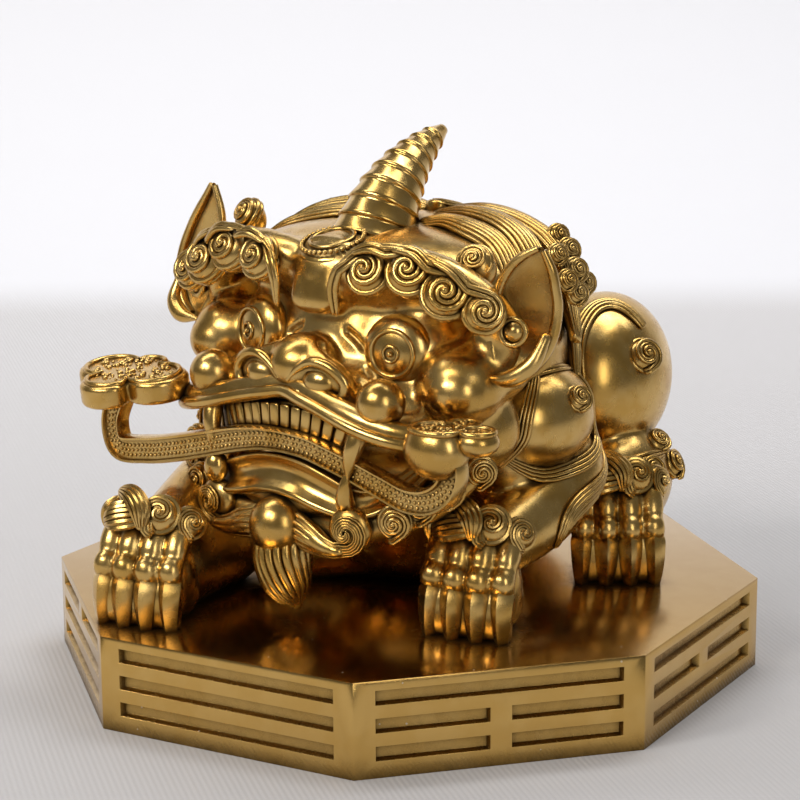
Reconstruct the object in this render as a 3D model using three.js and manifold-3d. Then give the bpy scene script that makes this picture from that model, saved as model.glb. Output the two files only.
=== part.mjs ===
// Auspicious beast in cast brass, lying on an eight-sided trigram plinth.
// One horn, curled mane, ruyi sceptre held across the jaws. Millimetres, +Z up.
// The origin is the centre of the plinth's underside and the beast looks along -Y.

import * as THREE from 'three';
import { SimplifyModifier } from 'three/addons/modifiers/SimplifyModifier.js';
import { mergeVertices } from 'three/addons/utils/BufferGeometryUtils.js';
import Module from 'manifold-3d';

const wasm = await Module();
wasm.setup();

// Plinth
const PLINTH_WIDTH = 160; // across two opposite flats
const PLINTH_HEIGHT = 22;
const PLINTH_CHAMFER = 0.8;
const PLINTH_SIDES = 8;
const GROOVE = { first: 3.3, height: 3.8, pitch: 6.4, end: 4.5, split: 4, depth: 1.4, slope: 0.7 };
// Lines from the top down, 1 unbroken and 0 broken, going round from the front by the beast's left.
const TRIGRAMS = ['111', '100', '101', '001', '000', '010', '110', '011'];

// Beast. Places on its body are measured from the spine, and paired ones are written for its left.
const SEAT_GAP = 0.3;
const FLOOR = PLINTH_HEIGHT + SEAT_GAP; // underside of the beast
const BODY_MIDDLE = 2; // x of the spine
const CHEST = { at: [1, 3, 58], radii: [32, 32, 40] };
const RUMP = { at: [0, 34, 56], radii: [33, 38, 36] };
const WITHERS = { at: [0, -2, 74], radii: [30, 24, 24] };
const SHOULDER = { at: [34, -8, 66], radii: [14, 19, 21] };
const HAUNCH = { at: [32, 42, 66], radii: [17, 24, 21], turn: 12 };
const THIGH = { at: [42, 34, 42], radii: [11, 17, 14] };
const TAIL_ROOT = { at: [1, 50, 79], radii: [10, 20, 16] };
const PAW = { width: 19.5, height: 23.5, toes: 4, toe: [1.8, 2.7, 2.8, 2.9, 2, 1.2] };
const FORE_PAWS = [{ s: 1, x: 39, y: -34 }, { s: -1, x: -31, y: -62 }]; // the right one is a stride ahead
const FORE_HEADING = 6;
const HIND_PAW = { x: 46, y: 20, heading: 30 };

// Head, in a frame of its own: x to its left, -y forward, z up from the head's origin.
const HEAD_YAW = THREE.MathUtils.degToRad(-11.1);
const HEAD_ORIGIN = [7.85, -1.54, 70];
const SKULL = { at: [0, -6, 8], radii: [38, 33, 35] };
const FOREHEAD = { at: [0, -15, 21], radii: [43, 25.5, 19.5] };
const MUZZLE = { at: [0, -26, 3], radii: [33, 23, 12] };
const JAW = { at: [0, -26, -16], radii: [28, 24, 11] };
const PALATE = { at: [0, -38, 1], radii: [26, 11, 5] };
const CHEEK = { at: [36.5, -31.5, 9.5], radii: [8.5, 8.5, 8.5] };
const WHISKER_PAD = { at: [25.9, -44, 6], radii: [6.8, 7, 6.2] };
const NOSE = { at: [0, -42, 10.5], radii: [11.5, 10, 7.5] };
const EYE = { at: [20.8, -30.8, 16.8], radii: [9.4, 8, 9.2], ringAt: [20.8, -37.4, 16.5] };
const EAR_ROOT = { at: [43, -22, 16], radii: [9, 8, 10] };
const EARS = [ // side and middle line; the head is tipped, so the right one stands higher
  { s: 1, rise: [[42.5, -27, 11], [48, -25.5, 22], [49.5, -23, 32], [52, -22.5, 41]] },
  { s: -1, rise: [[43, -27, 10], [50.5, -25, 23], [50, -22.5, 34], [47, -22, 46.8]] },
];
const CROWN_CURLS = [{ at: [35, -24, 33.5], radii: [5, 5, 7] }, { at: [-34, -24, 36], radii: [5, 5, 8] }];
const HORN = { bands: 8, base: 9.8, tip: 1, step: 0.8 };
const TEETH = { count: 11, height: 8, notch: 1.4, spread: 1.5, radius: 25, centre: -23 };
const STAFF = { half: [2.1, 2.6], rows: 24 };

// Faceting
const CURL_SIDES = 7;
const FACETS = 9000; // triangles kept in the joined casting
const TOUCH_GAP = 0.03;

const V = (x, y, z) => new THREE.Vector3(x, y, z);

function solid(geometry) {
  geometry.deleteAttribute('normal');
  geometry.deleteAttribute('uv');
  const merged = mergeVertices(geometry, 1e-4);
  return new wasm.Manifold(new wasm.Mesh({
    numProp: 3,
    vertProperties: new Float32Array(merged.attributes.position.array),
    triVerts: new Uint32Array(merged.index.array),
  }));
}

function geometryOf(manifold) {
  const mesh = manifold.getMesh();
  const geometry = new THREE.BufferGeometry();
  geometry.setAttribute('position', new THREE.BufferAttribute(mesh.vertProperties, 3));
  geometry.setIndex(new THREE.BufferAttribute(mesh.triVerts, 1));
  return geometry;
}

function join(solids) {
  return solids.reduce((whole, piece) => whole.add(piece));
}

// Left and right copies of a feature that is written for the left side.
function both(make) {
  return join([make(1), make(-1)]);
}

// The side s of the body: a place written for the left, set out from the spine.
function bodySide(s) {
  return (x, y, z) => [BODY_MIDDLE + s * x, y, z];
}

// A half line from the middle outwards becomes a whole one from right to left.
function mirrored(half) {
  return [...half.slice(1).reverse().map(([x, y, z]) => [-x, y, z]), ...half];
}

function turnBy(geometry, degrees) {
  const [x, y, z] = degrees.map(THREE.MathUtils.degToRad);
  geometry.applyMatrix4(new THREE.Matrix4().makeRotationFromEuler(new THREE.Euler(x, y, z)));
}

function ball(centre, radii, detail = 1, turn = 0) {
  const geometry = new THREE.IcosahedronGeometry(1, detail);
  geometry.scale(...radii);
  turnBy(geometry, [0, 0, turn]);
  geometry.translate(...centre);
  return solid(geometry);
}

function bead(centre, radius) {
  return ball(centre, [radius, radius, radius]);
}

// A rounded mass of the head or, set out from the spine, of the body.
function mass({ at: [x, y, z], radii, turn = 0 }, detail, s = 1, middle = 0) {
  return ball([middle + s * x, y, z], radii, detail, s * turn);
}

function bodyMass(form, detail, s = 1) {
  return mass(form, detail, s, BODY_MIDDLE);
}

// Tapered bar along a smooth curve. Each station of radii is [across, thick] or one number;
// face is the side that the thickness points to and strands flutes the section.
function sweep(points, radii, { sides = 6, face = [0, 0, 1], strands = 0, flute = 0.1 } = {}) {
  const curve = new THREE.CatmullRomCurve3(points.map((p) => V(...p)), false, 'centripetal');
  const rows = radii.length - 1;
  const frames = radii.map((radius, row) => {
    const tangent = curve.getTangent(row / rows);
    const normal = V(...face).projectOnPlane(tangent).normalize();
    const across = V().crossVectors(normal, tangent);
    const [wide, thick] = Array.isArray(radius) ? radius : [radius, radius];
    return {
      at: curve.getPoint(row / rows),
      across: across.multiplyScalar(wide),
      normal: normal.multiplyScalar(thick),
    };
  });
  const geometry = new THREE.CylinderGeometry(1, 1, 1, sides, rows);
  const position = geometry.attributes.position;
  for (let i = 0; i < position.count; i += 1) {
    const { at, across, normal } = frames[Math.round((0.5 - position.getY(i)) * rows)];
    const angle = Math.atan2(position.getX(i), position.getZ(i));
    const flutes = strands ? 1 + flute * Math.cos(strands * angle) : 1;
    const reach = Math.hypot(position.getX(i), position.getZ(i)) * flutes;
    const point = at.clone()
      .addScaledVector(across, Math.sin(angle) * reach)
      .addScaledVector(normal, Math.cos(angle) * reach);
    position.setXYZ(i, point.x, point.y, point.z);
  }
  return solid(geometry);
}

// Lathed form whose axis is turned to an outward direction.
function turned(profile, centre, outward, sides) {
  const geometry = new THREE.LatheGeometry(profile.map(([r, h]) => new THREE.Vector2(r, h)), sides);
  const facing = new THREE.Quaternion().setFromUnitVectors(V(0, 1, 0), V(...outward).normalize());
  geometry.applyQuaternion(facing);
  geometry.translate(...centre);
  return solid(geometry);
}

// Snail curl of hair: a raised rim, a groove and a central bead.
function curl(centre, outward, radius) {
  const profile = [[0, -1.2], [1, -0.2], [0.82, 0.42], [0.45, 0.2], [0, 0.75]];
  return turned(profile.map(([r, h]) => [r * radius, h * radius]), centre, outward, CURL_SIDES);
}

// A sloped bar that is cut out of the plinth's face.
function grooveBar(length) {
  const geometry = new THREE.BoxGeometry(length, GROOVE.depth * 2, GROOVE.height);
  const position = geometry.attributes.position;
  for (let i = 0; i < position.count; i += 1) {
    if (position.getY(i) > 0) {
      position.setX(i, position.getX(i) - Math.sign(position.getX(i)) * GROOVE.slope);
      position.setZ(i, position.getZ(i) - Math.sign(position.getZ(i)) * GROOVE.slope);
    }
  }
  return geometry;
}

function trigramCutters(lines, turn) {
  const side = PLINTH_WIDTH * Math.tan(Math.PI / PLINTH_SIDES);
  const full = side - 2 * GROOVE.end;
  const half = (full - GROOVE.split) / 2;
  const offset = (half + GROOVE.split) / 2;
  return [...lines].flatMap((line, row) => {
    const z = PLINTH_HEIGHT - GROOVE.first - GROOVE.height / 2 - row * GROOVE.pitch;
    const bars = line === '1' ? [[0, full]] : [[-offset, half], [offset, half]];
    return bars.map(([x, length]) => {
      const geometry = grooveBar(length);
      geometry.translate(x, -PLINTH_WIDTH / 2, z);
      geometry.rotateZ(turn);
      return solid(geometry);
    });
  });
}

function makePlinth() {
  const corner = PLINTH_WIDTH / 2 / Math.cos(Math.PI / PLINTH_SIDES);
  const inner = corner - PLINTH_CHAMFER;
  const low = PLINTH_CHAMFER;
  const high = PLINTH_HEIGHT - PLINTH_CHAMFER;
  const lower = [[0, 0], [inner, 0], [corner, low]];
  const upper = [[corner, high], [inner, PLINTH_HEIGHT], [0, PLINTH_HEIGHT]];
  const profile = [...lower, ...upper].map(([r, z]) => new THREE.Vector2(r, z));
  const geometry = new THREE.LatheGeometry(profile, PLINTH_SIDES, Math.PI / PLINTH_SIDES);
  geometry.rotateX(Math.PI / 2);
  const step = (2 * Math.PI) / PLINTH_SIDES;
  const cutters = TRIGRAMS.flatMap((lines, k) => trigramCutters(lines, k * step));
  return solid(geometry).subtract(join(cutters));
}

// A paw like a loose fist: four toes bend over the knuckles and end in long claws.
function paw(x, y, heading) {
  const turn = THREE.MathUtils.degToRad(heading);
  const ahead = [Math.sin(turn), -Math.cos(turn), 0.2];
  const place = (out, reach, height) => [
    x + out * Math.cos(turn) + reach * Math.sin(turn),
    y + out * Math.sin(turn) - reach * Math.cos(turn),
    FLOOR + height * PAW.height,
  ];
  const toe = (_, k) => {
    const out = (k - (PAW.toes - 1) / 2) * (PAW.width / PAW.toes);
    const back = Math.abs(out) * 0.25;
    const line = [
      place(out * 0.8, -3 - back, 0.9), // wrist
      place(out, 3.5 - back, 0.78),
      place(out * 1.05, 7 - back, 0.5), // knuckle
      place(out * 1.05, 7.5 - back, 0.3),
      place(out * 1.05, 9 - back, -0.05), // claw
    ];
    return sweep(line, PAW.toe, { face: ahead });
  };
  const palm = ball(place(0, -1.5, 0.42), [PAW.width / 2 - 1, 8.5, PAW.height / 2], 1, heading);
  return join([palm, ...Array.from({ length: PAW.toes }, toe)]);
}

function makeTorso() {
  return join([bodyMass(CHEST, 3), bodyMass(RUMP, 3), bodyMass(WITHERS, 2)]);
}

function makeHindquarters() {
  return both((s) => {
    const at = bodySide(s);
    const rim = [at(41, 19, 60), at(43, 22, 76), at(41, 34, 86), at(42, 47, 80)];
    return join([
      bodyMass(HAUNCH, 3, s),
      bodyMass(THIGH, 2, s),
      sweep(rim, [1.6, 2.6, 2.8, 2.8, 2.8, 2.4], { face: [s, 0, 0.2] }),
      curl(at(44, 48, 73), [s, -0.2, 0.4], 4),
      paw(BODY_MIDDLE + s * HIND_PAW.x, HIND_PAW.y, s * HIND_PAW.heading),
      curl(at(46, 13, 47), [s * 0.8, -1, 0.4], 4.2),
      curl(at(54, 25, 45), [s, -0.5, 0.3], 5.4),
      curl(at(50, 40, 52), [s, 0.3, 0.2], 4.5),
    ]);
  });
}

// Four curls of hair round the wrist.
function wristCurls(x, y) {
  return join([
    curl([x - 5.5, y - 4.5, 45], [-0.5, -1, 0.8], 4),
    curl([x + 4.5, y - 4.5, 46], [0.4, -1, 0.8], 4.4),
    curl([x + 10, y + 2, 43], [1, -0.5, 0.5], 4.2),
    curl([x - 10, y + 2, 43], [-1, -0.5, 0.5], 4.2),
  ]);
}

function makeForelegs() {
  return join(FORE_PAWS.map(({ s, x, y }) => {
    const at = bodySide(s);
    const [elbowX] = at(40, 0, 0);
    const arm = [at(39, 2, 52), [(elbowX + x) / 2 + s * 2, y / 2 + 4, 45], [x + s, y + 6, 40]];
    const tuft = [at(43, 22, 50), at(45, 2, 48), at(44, -8, 42), at(42, -12, 35)];
    const tuftRadii = [[2, 2], [4, 3], [5, 3.4], [5, 3.4], [2, 1.5]];
    return join([
      bodyMass(SHOULDER, 2, s),
      sweep(arm, [12, 10, 8.5, 6.5], { sides: 8 }),
      paw(x, y, FORE_HEADING),
      wristCurls(x, y),
      sweep(tuft, tuftRadii, { face: [s, 0, 0], sides: 8, strands: 4 }),
    ]);
  }));
}

// Strand that frames the shoulder plate, with a curl at its heart.
function makeShoulderLocks() {
  return both((s) => {
    const at = bodySide(s);
    const front = [at(40, -20, 86), at(44, -24, 72), at(44, -26, 60)];
    const back = [at(45, -9, 53), at(45, 9, 52), at(44, 15, 61), at(44, 8, 71)];
    const collar = [at(36, -14, 84), at(44, -4, 80), at(38, 8, 80)];
    return join([
      sweep([...front, ...back], [1.6, 3, 3.2, 3.4, 3.2, 3, 2.8, 1.4], { face: [s, -0.3, 0] }),
      sweep(collar, [2, 3, 3, 2], { face: [s, 0, 0] }),
      curl(at(45, 3, 68), [s, -0.3, 0.3], 3.8),
    ]);
  });
}

// Bushy tail laid forward over the back, with curls at its root.
function makeTail() {
  const line = [[3, 20, 91], [3, 34, 98], [3, 50, 98.5], [4, 64, 89], [4, 71, 76], [3, 69, 54]];
  const radii = [[3, 2], [9, 4.5], [11, 5], [11, 5], [11, 5], [10, 5], [7, 4]];
  const curls = [[17, 52, 87, 0.6], [14, 64, 79, 0.4], [-10, 52, 87, 0.6], [-8, 64, 79, 0.4]];
  return join([
    bodyMass(TAIL_ROOT, 2),
    sweep(line, radii, { face: [0, 0.5, 1], sides: 16, strands: 8 }),
    ...curls.map(([x, y, z, up]) => curl([x, y, z], [Math.sign(x), 0.4, up], 5)),
    bead([-3, 18, 96], 4.5),
  ]);
}

function makeSkull() {
  return join([
    mass(SKULL, 3),
    mass(FOREHEAD, 3),
    mass(MUZZLE, 2),
    mass(JAW, 2),
    both((s) => mass(CHEEK, 1, s)),
    both((s) => mass(WHISKER_PAD, 1, s)),
  ]);
}

function makeNose() {
  const bridge = [[0, -33, 36], [0, -39, 28], [0, -40, 20], [0, -44, 13]];
  return join([
    mass(NOSE, 2),
    sweep(bridge, [[6, 5], [5, 4], [5, 4], [7, 5]], { face: [0, -1, 0] }),
    both((s) => bead([s * 10.5, -47.5, 8.5], 4.4)),
  ]);
}

function makeEyes() {
  const ring = [[0, -5], [4.8, -1], [4.8, 1.2], [3.4, 1.2], [2.6, 0.2], [0, 1.6]];
  const [x, y, z] = EYE.ringAt;
  return both((s) => join([
    mass(EYE, 2, s),
    turned(ring, [s * x, y, z], [s * 0.25, -1, 0], 10),
  ]));
}

// Brow of snail curls from the bridge round to the ear, with a curl ball on the crown.
function makeBrow() {
  const band = [[7, -40, 23], [11, -40, 31], [22, -37, 33], [34, -34, 32], [46, -30, 27]];
  const curls = [[17, -41, 34, 4.2], [27.5, -39.5, 34.5, 5.4], [38, -37.5, 31, 5.2], [46, -34, 26.5, 4.2]];
  return both((s) => join([
    sweep(band.map(([x, y, z]) => [s * x, y, z]), [1.4, 3.6, 4.8, 5, 3.4], { face: [0, -1, 0.3] }),
    ...curls.map(([x, y, z, r]) => curl([s * x, y, z], [s * 0.15, -1, 0.25], r)),
  ])).add(join(CROWN_CURLS.map((form) => mass(form, 1))));
}

// Leaf-shaped ears, hollow in front, with a boss low in the cup.
function makeEars() {
  const shellRadii = [[5, 3], [7.2, 4.2], [7.6, 4], 0.8];
  const hollowRadii = [[1, 0.6], [5, 3], [5.2, 3], 0.4];
  return join(EARS.map(({ s, rise }) => {
    const line = rise.map(([x, y, z]) => [s * x, y, z]);
    const scoop = line.map(([x, y, z]) => [x + s * 0.7, y - 3.8, z - 1]);
    const face = [s * 0.25, -1, 0.1];
    const shell = sweep(line, shellRadii, { face, sides: 8 });
    const hollow = sweep(scoop, hollowRadii, { face, sides: 8 });
    return join([shell.subtract(hollow), bead([s * 48, -28.5, 20.5], 4), mass(EAR_ROOT, 1, s)]);
  }));
}

// Horn that leans back, ringed by stepped bands.
function makeHorn() {
  const line = [[0, -18.5, 37], [0, -14.6, 44.8], [0, -8.2, 51.8], [0, -0.9, 56.8], [0, 5.2, 59.6]];
  const last = 2 * HORN.bands - 1;
  const radii = Array.from({ length: last + 1 }, (_, k) => {
    const step = k % 2 ? -HORN.step : HORN.step;
    return THREE.MathUtils.lerp(HORN.base, HORN.tip, k / last) + step / 2;
  });
  return sweep(line, radii, { sides: 10, face: [0, -1, 0] });
}

// Combed locks that sweep from behind the horn down past the ears.
function makeMane() {
  const line = [[2, 0, 36], [14, 1, 40], [27, -4, 37], [38, -7, 28], [41, -7, 14], [40, -5, 0]];
  const radii = [[5, 3], [8, 4], [10, 5], [10, 5], [8, 4], [4, 3]];
  return both((s) => {
    const lock = line.map(([x, y, z]) => [s * x, y, z]);
    return sweep(lock, radii, { face: [s * 0.3, 0.2, 1], sides: 12, strands: 6 });
  });
}

function makeMedallion() {
  return turned([[0, -3], [4.4, -1], [4.4, 0.8], [3, 0.9], [0, 0.3]], [0, -32, 39.2], [0, -0.45, 1], 10);
}

// Upper teeth as one curved strip, notched between the teeth.
function makeTeeth() {
  const last = 2 * TEETH.count;
  const points = Array.from({ length: last + 1 }, (_, k) => {
    const angle = (k / last - 0.5) * TEETH.spread;
    const x = Math.sin(angle) * TEETH.radius;
    return [x, TEETH.centre - Math.cos(angle) * TEETH.radius, 1 - Math.abs(angle) * 3];
  });
  const tooth = [TEETH.height / 2, 1.9];
  const gap = [TEETH.height / 2 - TEETH.notch, 0.8];
  return sweep(points, points.map((_, k) => (k % 2 ? tooth : gap)), { sides: 4, face: [0, -1, 0] });
}

function makeFangs() {
  const upper = [[22, -48, 1], [21.5, -51, -4], [20.5, -51.5, -10]];
  const lower = [[18.5, -46, -20], [19, -49.5, -15], [19.5, -50.5, -9.5]];
  return both((s) => {
    const side = (points) => points.map(([x, y, z]) => [s * x, y, z]);
    return join([sweep(side(upper), [2.4, 2.1, 0.5]), sweep(side(lower), [2.6, 2.3, 0.7])]);
  });
}

function makeMouth() {
  const upperLip = [
    [0, -47, 5.8], [10, -49.5, 5], [20, -51, 1.6], // over the teeth
    [27, -49, -1], [34, -46, -2.5], [36, -38, -4], // round the corner of the mouth
  ];
  const lowerLip = [[0, -51.5, -14.5], [9, -51, -15], [19, -48.5, -13.5], [25, -38, -10]];
  const upperRadii = [1.2, 2.4, 2.4, 2.6, 2.6, 2.6, 2.6, 2.6, 2.4, 2.4, 1.2];
  const lowerRadii = [1.6, 3.3, 3.4, 3.3, 3.4, 3.3, 1.6];
  return join([
    mass(PALATE, 2),
    sweep(mirrored(upperLip), upperRadii, { face: [0, -1, 0] }),
    sweep(mirrored(lowerLip), lowerRadii, { face: [0, -1, 0] }),
    makeTeeth(),
    makeFangs(),
  ]);
}

// Beard: a ball under the lip, a twisted tuft, and snail curls round the jaw.
function makeBeard() {
  const tuft = [[0, -46, -26], [0, -50, -31], [0.5, -50.5, -38], [1, -49, -45]];
  const tuftRadii = [[4, 3], [6.5, 5], [6, 5], [4, 3.4], 0.6];
  const jawline = [[4, -47, -24], [14, -48, -23], [26, -42, -20], [38, -32, -14], [44, -26, -6]];
  const curls = [[23, -51, -22.5, 4.2], [30, -45, -20.5, 4.2], [37, -38, -16, 4.2], [45, -30, -8, 3.8]];
  return join([
    bead([0, -51.5, -23], 6),
    sweep(tuft, tuftRadii, { sides: 8, strands: 4, face: [0, -1, 0] }),
    both((s) => sweep(jawline.map(([x, y, z]) => [s * x, y, z]), [2, 4.5, 5, 5, 3.5])),
    ...curls.map(([x, y, z, r]) => both((s) => curl([s * x, y, z], [s * 0.5, -1, -0.1], r))),
  ]);
}

// Trefoil cloud head of the sceptre, a flat plate with rounded lobes.
function cloudHead(centre, width, tilt) {
  const lobe = width / 4;
  const shape = new THREE.Shape();
  shape.absarc(-lobe * 1.05, 0, lobe, Math.PI * 0.35, Math.PI * 1.55, false);
  shape.absarc(0, -lobe * 0.9, lobe * 0.95, Math.PI * 1.2, Math.PI * 1.8, false);
  shape.absarc(lobe * 1.05, 0, lobe, Math.PI * 1.45, Math.PI * 0.65, false);
  const edge = { bevelThickness: 0.9, bevelSize: 0.9, bevelSegments: 1 };
  const geometry = new THREE.ExtrudeGeometry(shape, { depth: 2.6, curveSegments: 4, ...edge });
  turnBy(geometry, [tilt, 0, 0]);
  geometry.translate(...centre);
  return solid(geometry);
}

// The staff leaves one cloud head, bends back into the jaws and hooks up to the other head.
function makeSceptre() {
  const rightHook = [
    [-52, -51, 0], [-56, -51, -9], [-54, -51.5, -16],
    [-43, -51.5, -15.5], [-32, -51, -11.5],
  ];
  const held = [[-22, -50.5, -7.5], [-5, -50.5, -6], [8, -50, -6], [17, -49, -8]];
  const leftHook = [[26, -48, -7], [31, -47.5, -11], [37, -47.5, -13.5], [42, -47.5, -8], [45, -48, -1]];
  const staff = [...rightHook, ...held, ...leftHook];
  return join([
    sweep(staff, Array(STAFF.rows).fill(STAFF.half), { face: [0, -1, 0] }),
    cloudHead([-50, -51, 0.5], 27, 12),
    cloudHead([47, -48, 0], 20, 14),
  ]);
}

function makeHead() {
  const features = [makeSkull, makeNose, makeEyes, makeBrow, makeEars, makeHorn, makeMane, makeMedallion];
  const jaws = [makeMouth, makeBeard, makeSceptre];
  const geometry = geometryOf(join([...features, ...jaws].map((make) => make())));
  geometry.rotateZ(HEAD_YAW);
  geometry.translate(...HEAD_ORIGIN);
  return solid(geometry);
}

// One casting with no pockets sealed between its forms.
function makeBeast() {
  const features = [makeTorso, makeHindquarters, makeForelegs, makeShoulderLocks, makeTail, makeHead];
  const body = join(features.map((make) => make()));
  const shells = body.decompose().filter((shell) => shell.volume() > 0);
  return geometryOf(join(shells));
}

// Fewer facets, dropped first where the surface hardly bends.
async function thinned(geometry, facets) {
  const spare = Math.floor((geometry.index.count / 3 - facets) / 2);
  return new SimplifyModifier().modify(geometry, spare);
}

function flatBelow(geometry) {
  const below = new THREE.BoxGeometry(2 * PLINTH_WIDTH, 2 * PLINTH_WIDTH, PLINTH_WIDTH);
  below.translate(0, 0, FLOOR - PLINTH_WIDTH / 2);
  return solid(geometry).subtract(solid(below));
}

// Where two sheets of the surface touch at a corner, each draws back a hair, so every edge has two faces.
function eased(geometry) {
  const position = geometry.attributes.position;
  const corner = (_, i) => V().fromBufferAttribute(position, i).toArray().join();
  const keys = Array.from({ length: position.count }, corner);
  const uses = new Map();
  keys.forEach((key) => uses.set(key, (uses.get(key) ?? 0) + 1));
  geometry.computeVertexNormals();
  keys.forEach((key, i) => {
    if (uses.get(key) > 1) {
      const normal = V().fromBufferAttribute(geometry.attributes.normal, i);
      const point = V().fromBufferAttribute(position, i).addScaledVector(normal, -TOUCH_GAP);
      position.setXYZ(i, point.x, point.y, point.z);
    }
  });
  return geometry;
}

function brassMesh(name, geometry, color) {
  const material = new THREE.MeshStandardMaterial({ color, roughness: 0.28, metalness: 1 });
  const mesh = new THREE.Mesh(geometry, material);
  mesh.name = name;
  return mesh;
}

const casting = flatBelow(await thinned(makeBeast(), FACETS));
const figure = new THREE.Group();
figure.add(brassMesh('plinth', geometryOf(makePlinth()), 0xb99244));
figure.add(brassMesh('beast', eased(geometryOf(casting)), 0xc29a4b));

export default figure;
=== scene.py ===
"""Cast brass beast with one horn and a ruyi sceptre in its jaws, lying on an eight-sided trigram plinth.

Lengths in this file are millimetres unless a name or a comment says otherwise. The origin is the
centre of the plinth's underside, +Z is up and the beast looks along -Y.
"""

import math
import random

import bpy
import numpy as np
from mathutils import Matrix, Vector


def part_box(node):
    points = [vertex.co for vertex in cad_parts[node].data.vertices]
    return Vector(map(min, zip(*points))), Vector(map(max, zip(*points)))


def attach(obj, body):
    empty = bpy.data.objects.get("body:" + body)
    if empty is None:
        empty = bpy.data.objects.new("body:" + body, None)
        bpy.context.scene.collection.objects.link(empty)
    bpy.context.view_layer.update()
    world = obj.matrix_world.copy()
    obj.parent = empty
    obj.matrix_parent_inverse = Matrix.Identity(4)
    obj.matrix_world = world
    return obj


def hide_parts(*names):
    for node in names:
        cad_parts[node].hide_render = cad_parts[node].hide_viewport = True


bl_info = {
    "name": "Brass beast on a trigram plinth",
    "version": (1, 0, 0),
    "blender": (4, 5, 0),
    "location": "3D View > Sidebar > Brass beast",
    "description": "Models a cast brass beast with a sceptre on an eight-sided plinth",
    "category": "Object",
}

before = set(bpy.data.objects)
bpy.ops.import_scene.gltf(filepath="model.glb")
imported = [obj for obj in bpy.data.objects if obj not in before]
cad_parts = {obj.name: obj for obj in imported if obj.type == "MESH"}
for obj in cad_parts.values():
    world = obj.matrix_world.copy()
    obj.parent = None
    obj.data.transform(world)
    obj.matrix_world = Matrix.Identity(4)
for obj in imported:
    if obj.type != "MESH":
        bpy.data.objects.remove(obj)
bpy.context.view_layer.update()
PLINTH_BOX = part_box("plinth")

MM = 0.001
BODY = "root"
FLOOR = PLINTH_BOX[1][2] / MM  # top of the plinth, on which the beast lies
SPINE = 2.0  # x of the middle of the body
FORE_PAWS = [(1, 39, -34), (-1, -31, -62)]  # side, x, y: the right one is a stride ahead
FORE_HEADING = 6  # degrees from straight ahead
HIND_PAWS = [(48, 20, 30), (-44, 20, -30)]  # x, y, heading
CUT = FLOOR - 0.1  # the beast goes on this far into the plinth, so no line of light shows under it

# The head is modelled in a frame of its own: x to its left, -y forward, z up from its middle.
HEAD = Matrix.Translation(Vector((7.85, -1.54, 70)) * MM) @ Matrix.Rotation(math.radians(-11.1), 4, "Z")
BROW_HEART = (0, -12, 14)  # brow hair stands away from this point

# Lines of the trigrams from the top, 1 for a whole line, one side after the other.
TRIGRAMS = ["111", "100", "101", "001", "000", "010", "110", "011"]


# Shaping


def deselect():
    """Leaves nothing selected."""
    bpy.ops.object.select_all(action="DESELECT")


def alone(obj):
    """Selects one object only and makes it the active one."""
    deselect()
    obj.select_set(True)
    bpy.context.view_layer.objects.active = obj
    return obj


def settle(obj, scale=None):
    """Puts the place, turn and scale of a new object into its mesh."""
    alone(obj)
    if scale is not None:
        obj.scale = scale
    bpy.ops.object.transform_apply(location=True, rotation=True, scale=True)
    return obj


def ball(centre, radii, turn=0.0, detail=4, axis=None):
    """Ellipsoid. axis, where it is given, is where the third radius points."""
    deselect()
    bpy.ops.mesh.primitive_ico_sphere_add(subdivisions=detail, radius=1, location=Vector(centre) * MM)
    obj = bpy.context.object
    obj.rotation_euler = (0, 0, math.radians(turn))
    if axis is not None:
        obj.rotation_euler = Vector(axis).to_track_quat("Z", "Y").to_euler()
    return settle(obj, Vector(radii) * MM)


def join(name, objects):
    """Joins objects into one mesh under a name."""
    alone(objects[0])
    for obj in objects:
        obj.select_set(True)
    if len(objects) > 1:
        bpy.ops.object.join()
    whole = bpy.context.object
    whole.name = whole.data.name = name
    return whole


def apply(obj, kind, **settings):
    """Adds one modifier with its settings and applies it."""
    alone(obj)
    modifier = obj.modifiers.new(kind.title(), kind)
    for key, value in settings.items():
        setattr(modifier, key, value)
    bpy.ops.object.modifier_apply(modifier=modifier.name)
    return obj


def cast(obj, voxel, rounds):
    """Runs overlapping masses together into one skin and softens where they meet."""
    apply(obj, "REMESH", mode="VOXEL", voxel_size=voxel * MM, use_smooth_shade=True)
    return apply(obj, "SMOOTH", factor=0.5, iterations=rounds)


def corners(obj):
    """The corners of a mesh, one row each, in millimetres."""
    flat = np.empty(len(obj.data.vertices) * 3)
    obj.data.vertices.foreach_get("co", flat)
    return flat.reshape(-1, 3) / MM


def move_corners(obj, points):
    """Moves the corners of a mesh to the points given in millimetres."""
    obj.data.vertices.foreach_set("co", (points * MM).ravel())
    obj.data.update()


def outward(obj):
    """The outward direction at each corner of a mesh."""
    flat = np.empty(len(obj.data.vertices) * 3)
    obj.data.vertex_normals.foreach_get("vector", flat)
    return flat.reshape(-1, 3)


def press(obj, places):
    """Sinks or lifts soft dents. Each place is (centre, radii, shift)."""
    points = corners(obj)
    for centre, radii, shift in places:
        away = (points - centre) / radii
        points += np.exp(-(away**2).sum(axis=1))[:, None] * np.array(shift)
    move_corners(obj, points)


def distance_to_line(points, line):
    """Distance of each point to a line through many points, and how far along it the nearest place is."""
    nearest = np.full(len(points), np.inf)
    along = np.zeros(len(points))
    spans = len(line) - 1
    for k in range(spans):
        start, step = line[k], line[k + 1] - line[k]
        share = np.clip((points - start) @ step / (step @ step), 0, 1)
        gap = np.linalg.norm(points - start - share[:, None] * step, axis=1)
        closer = gap < nearest
        nearest[closer] = gap[closer]
        along[closer] = (k + share[closer]) / spans
    return nearest, along


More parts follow.
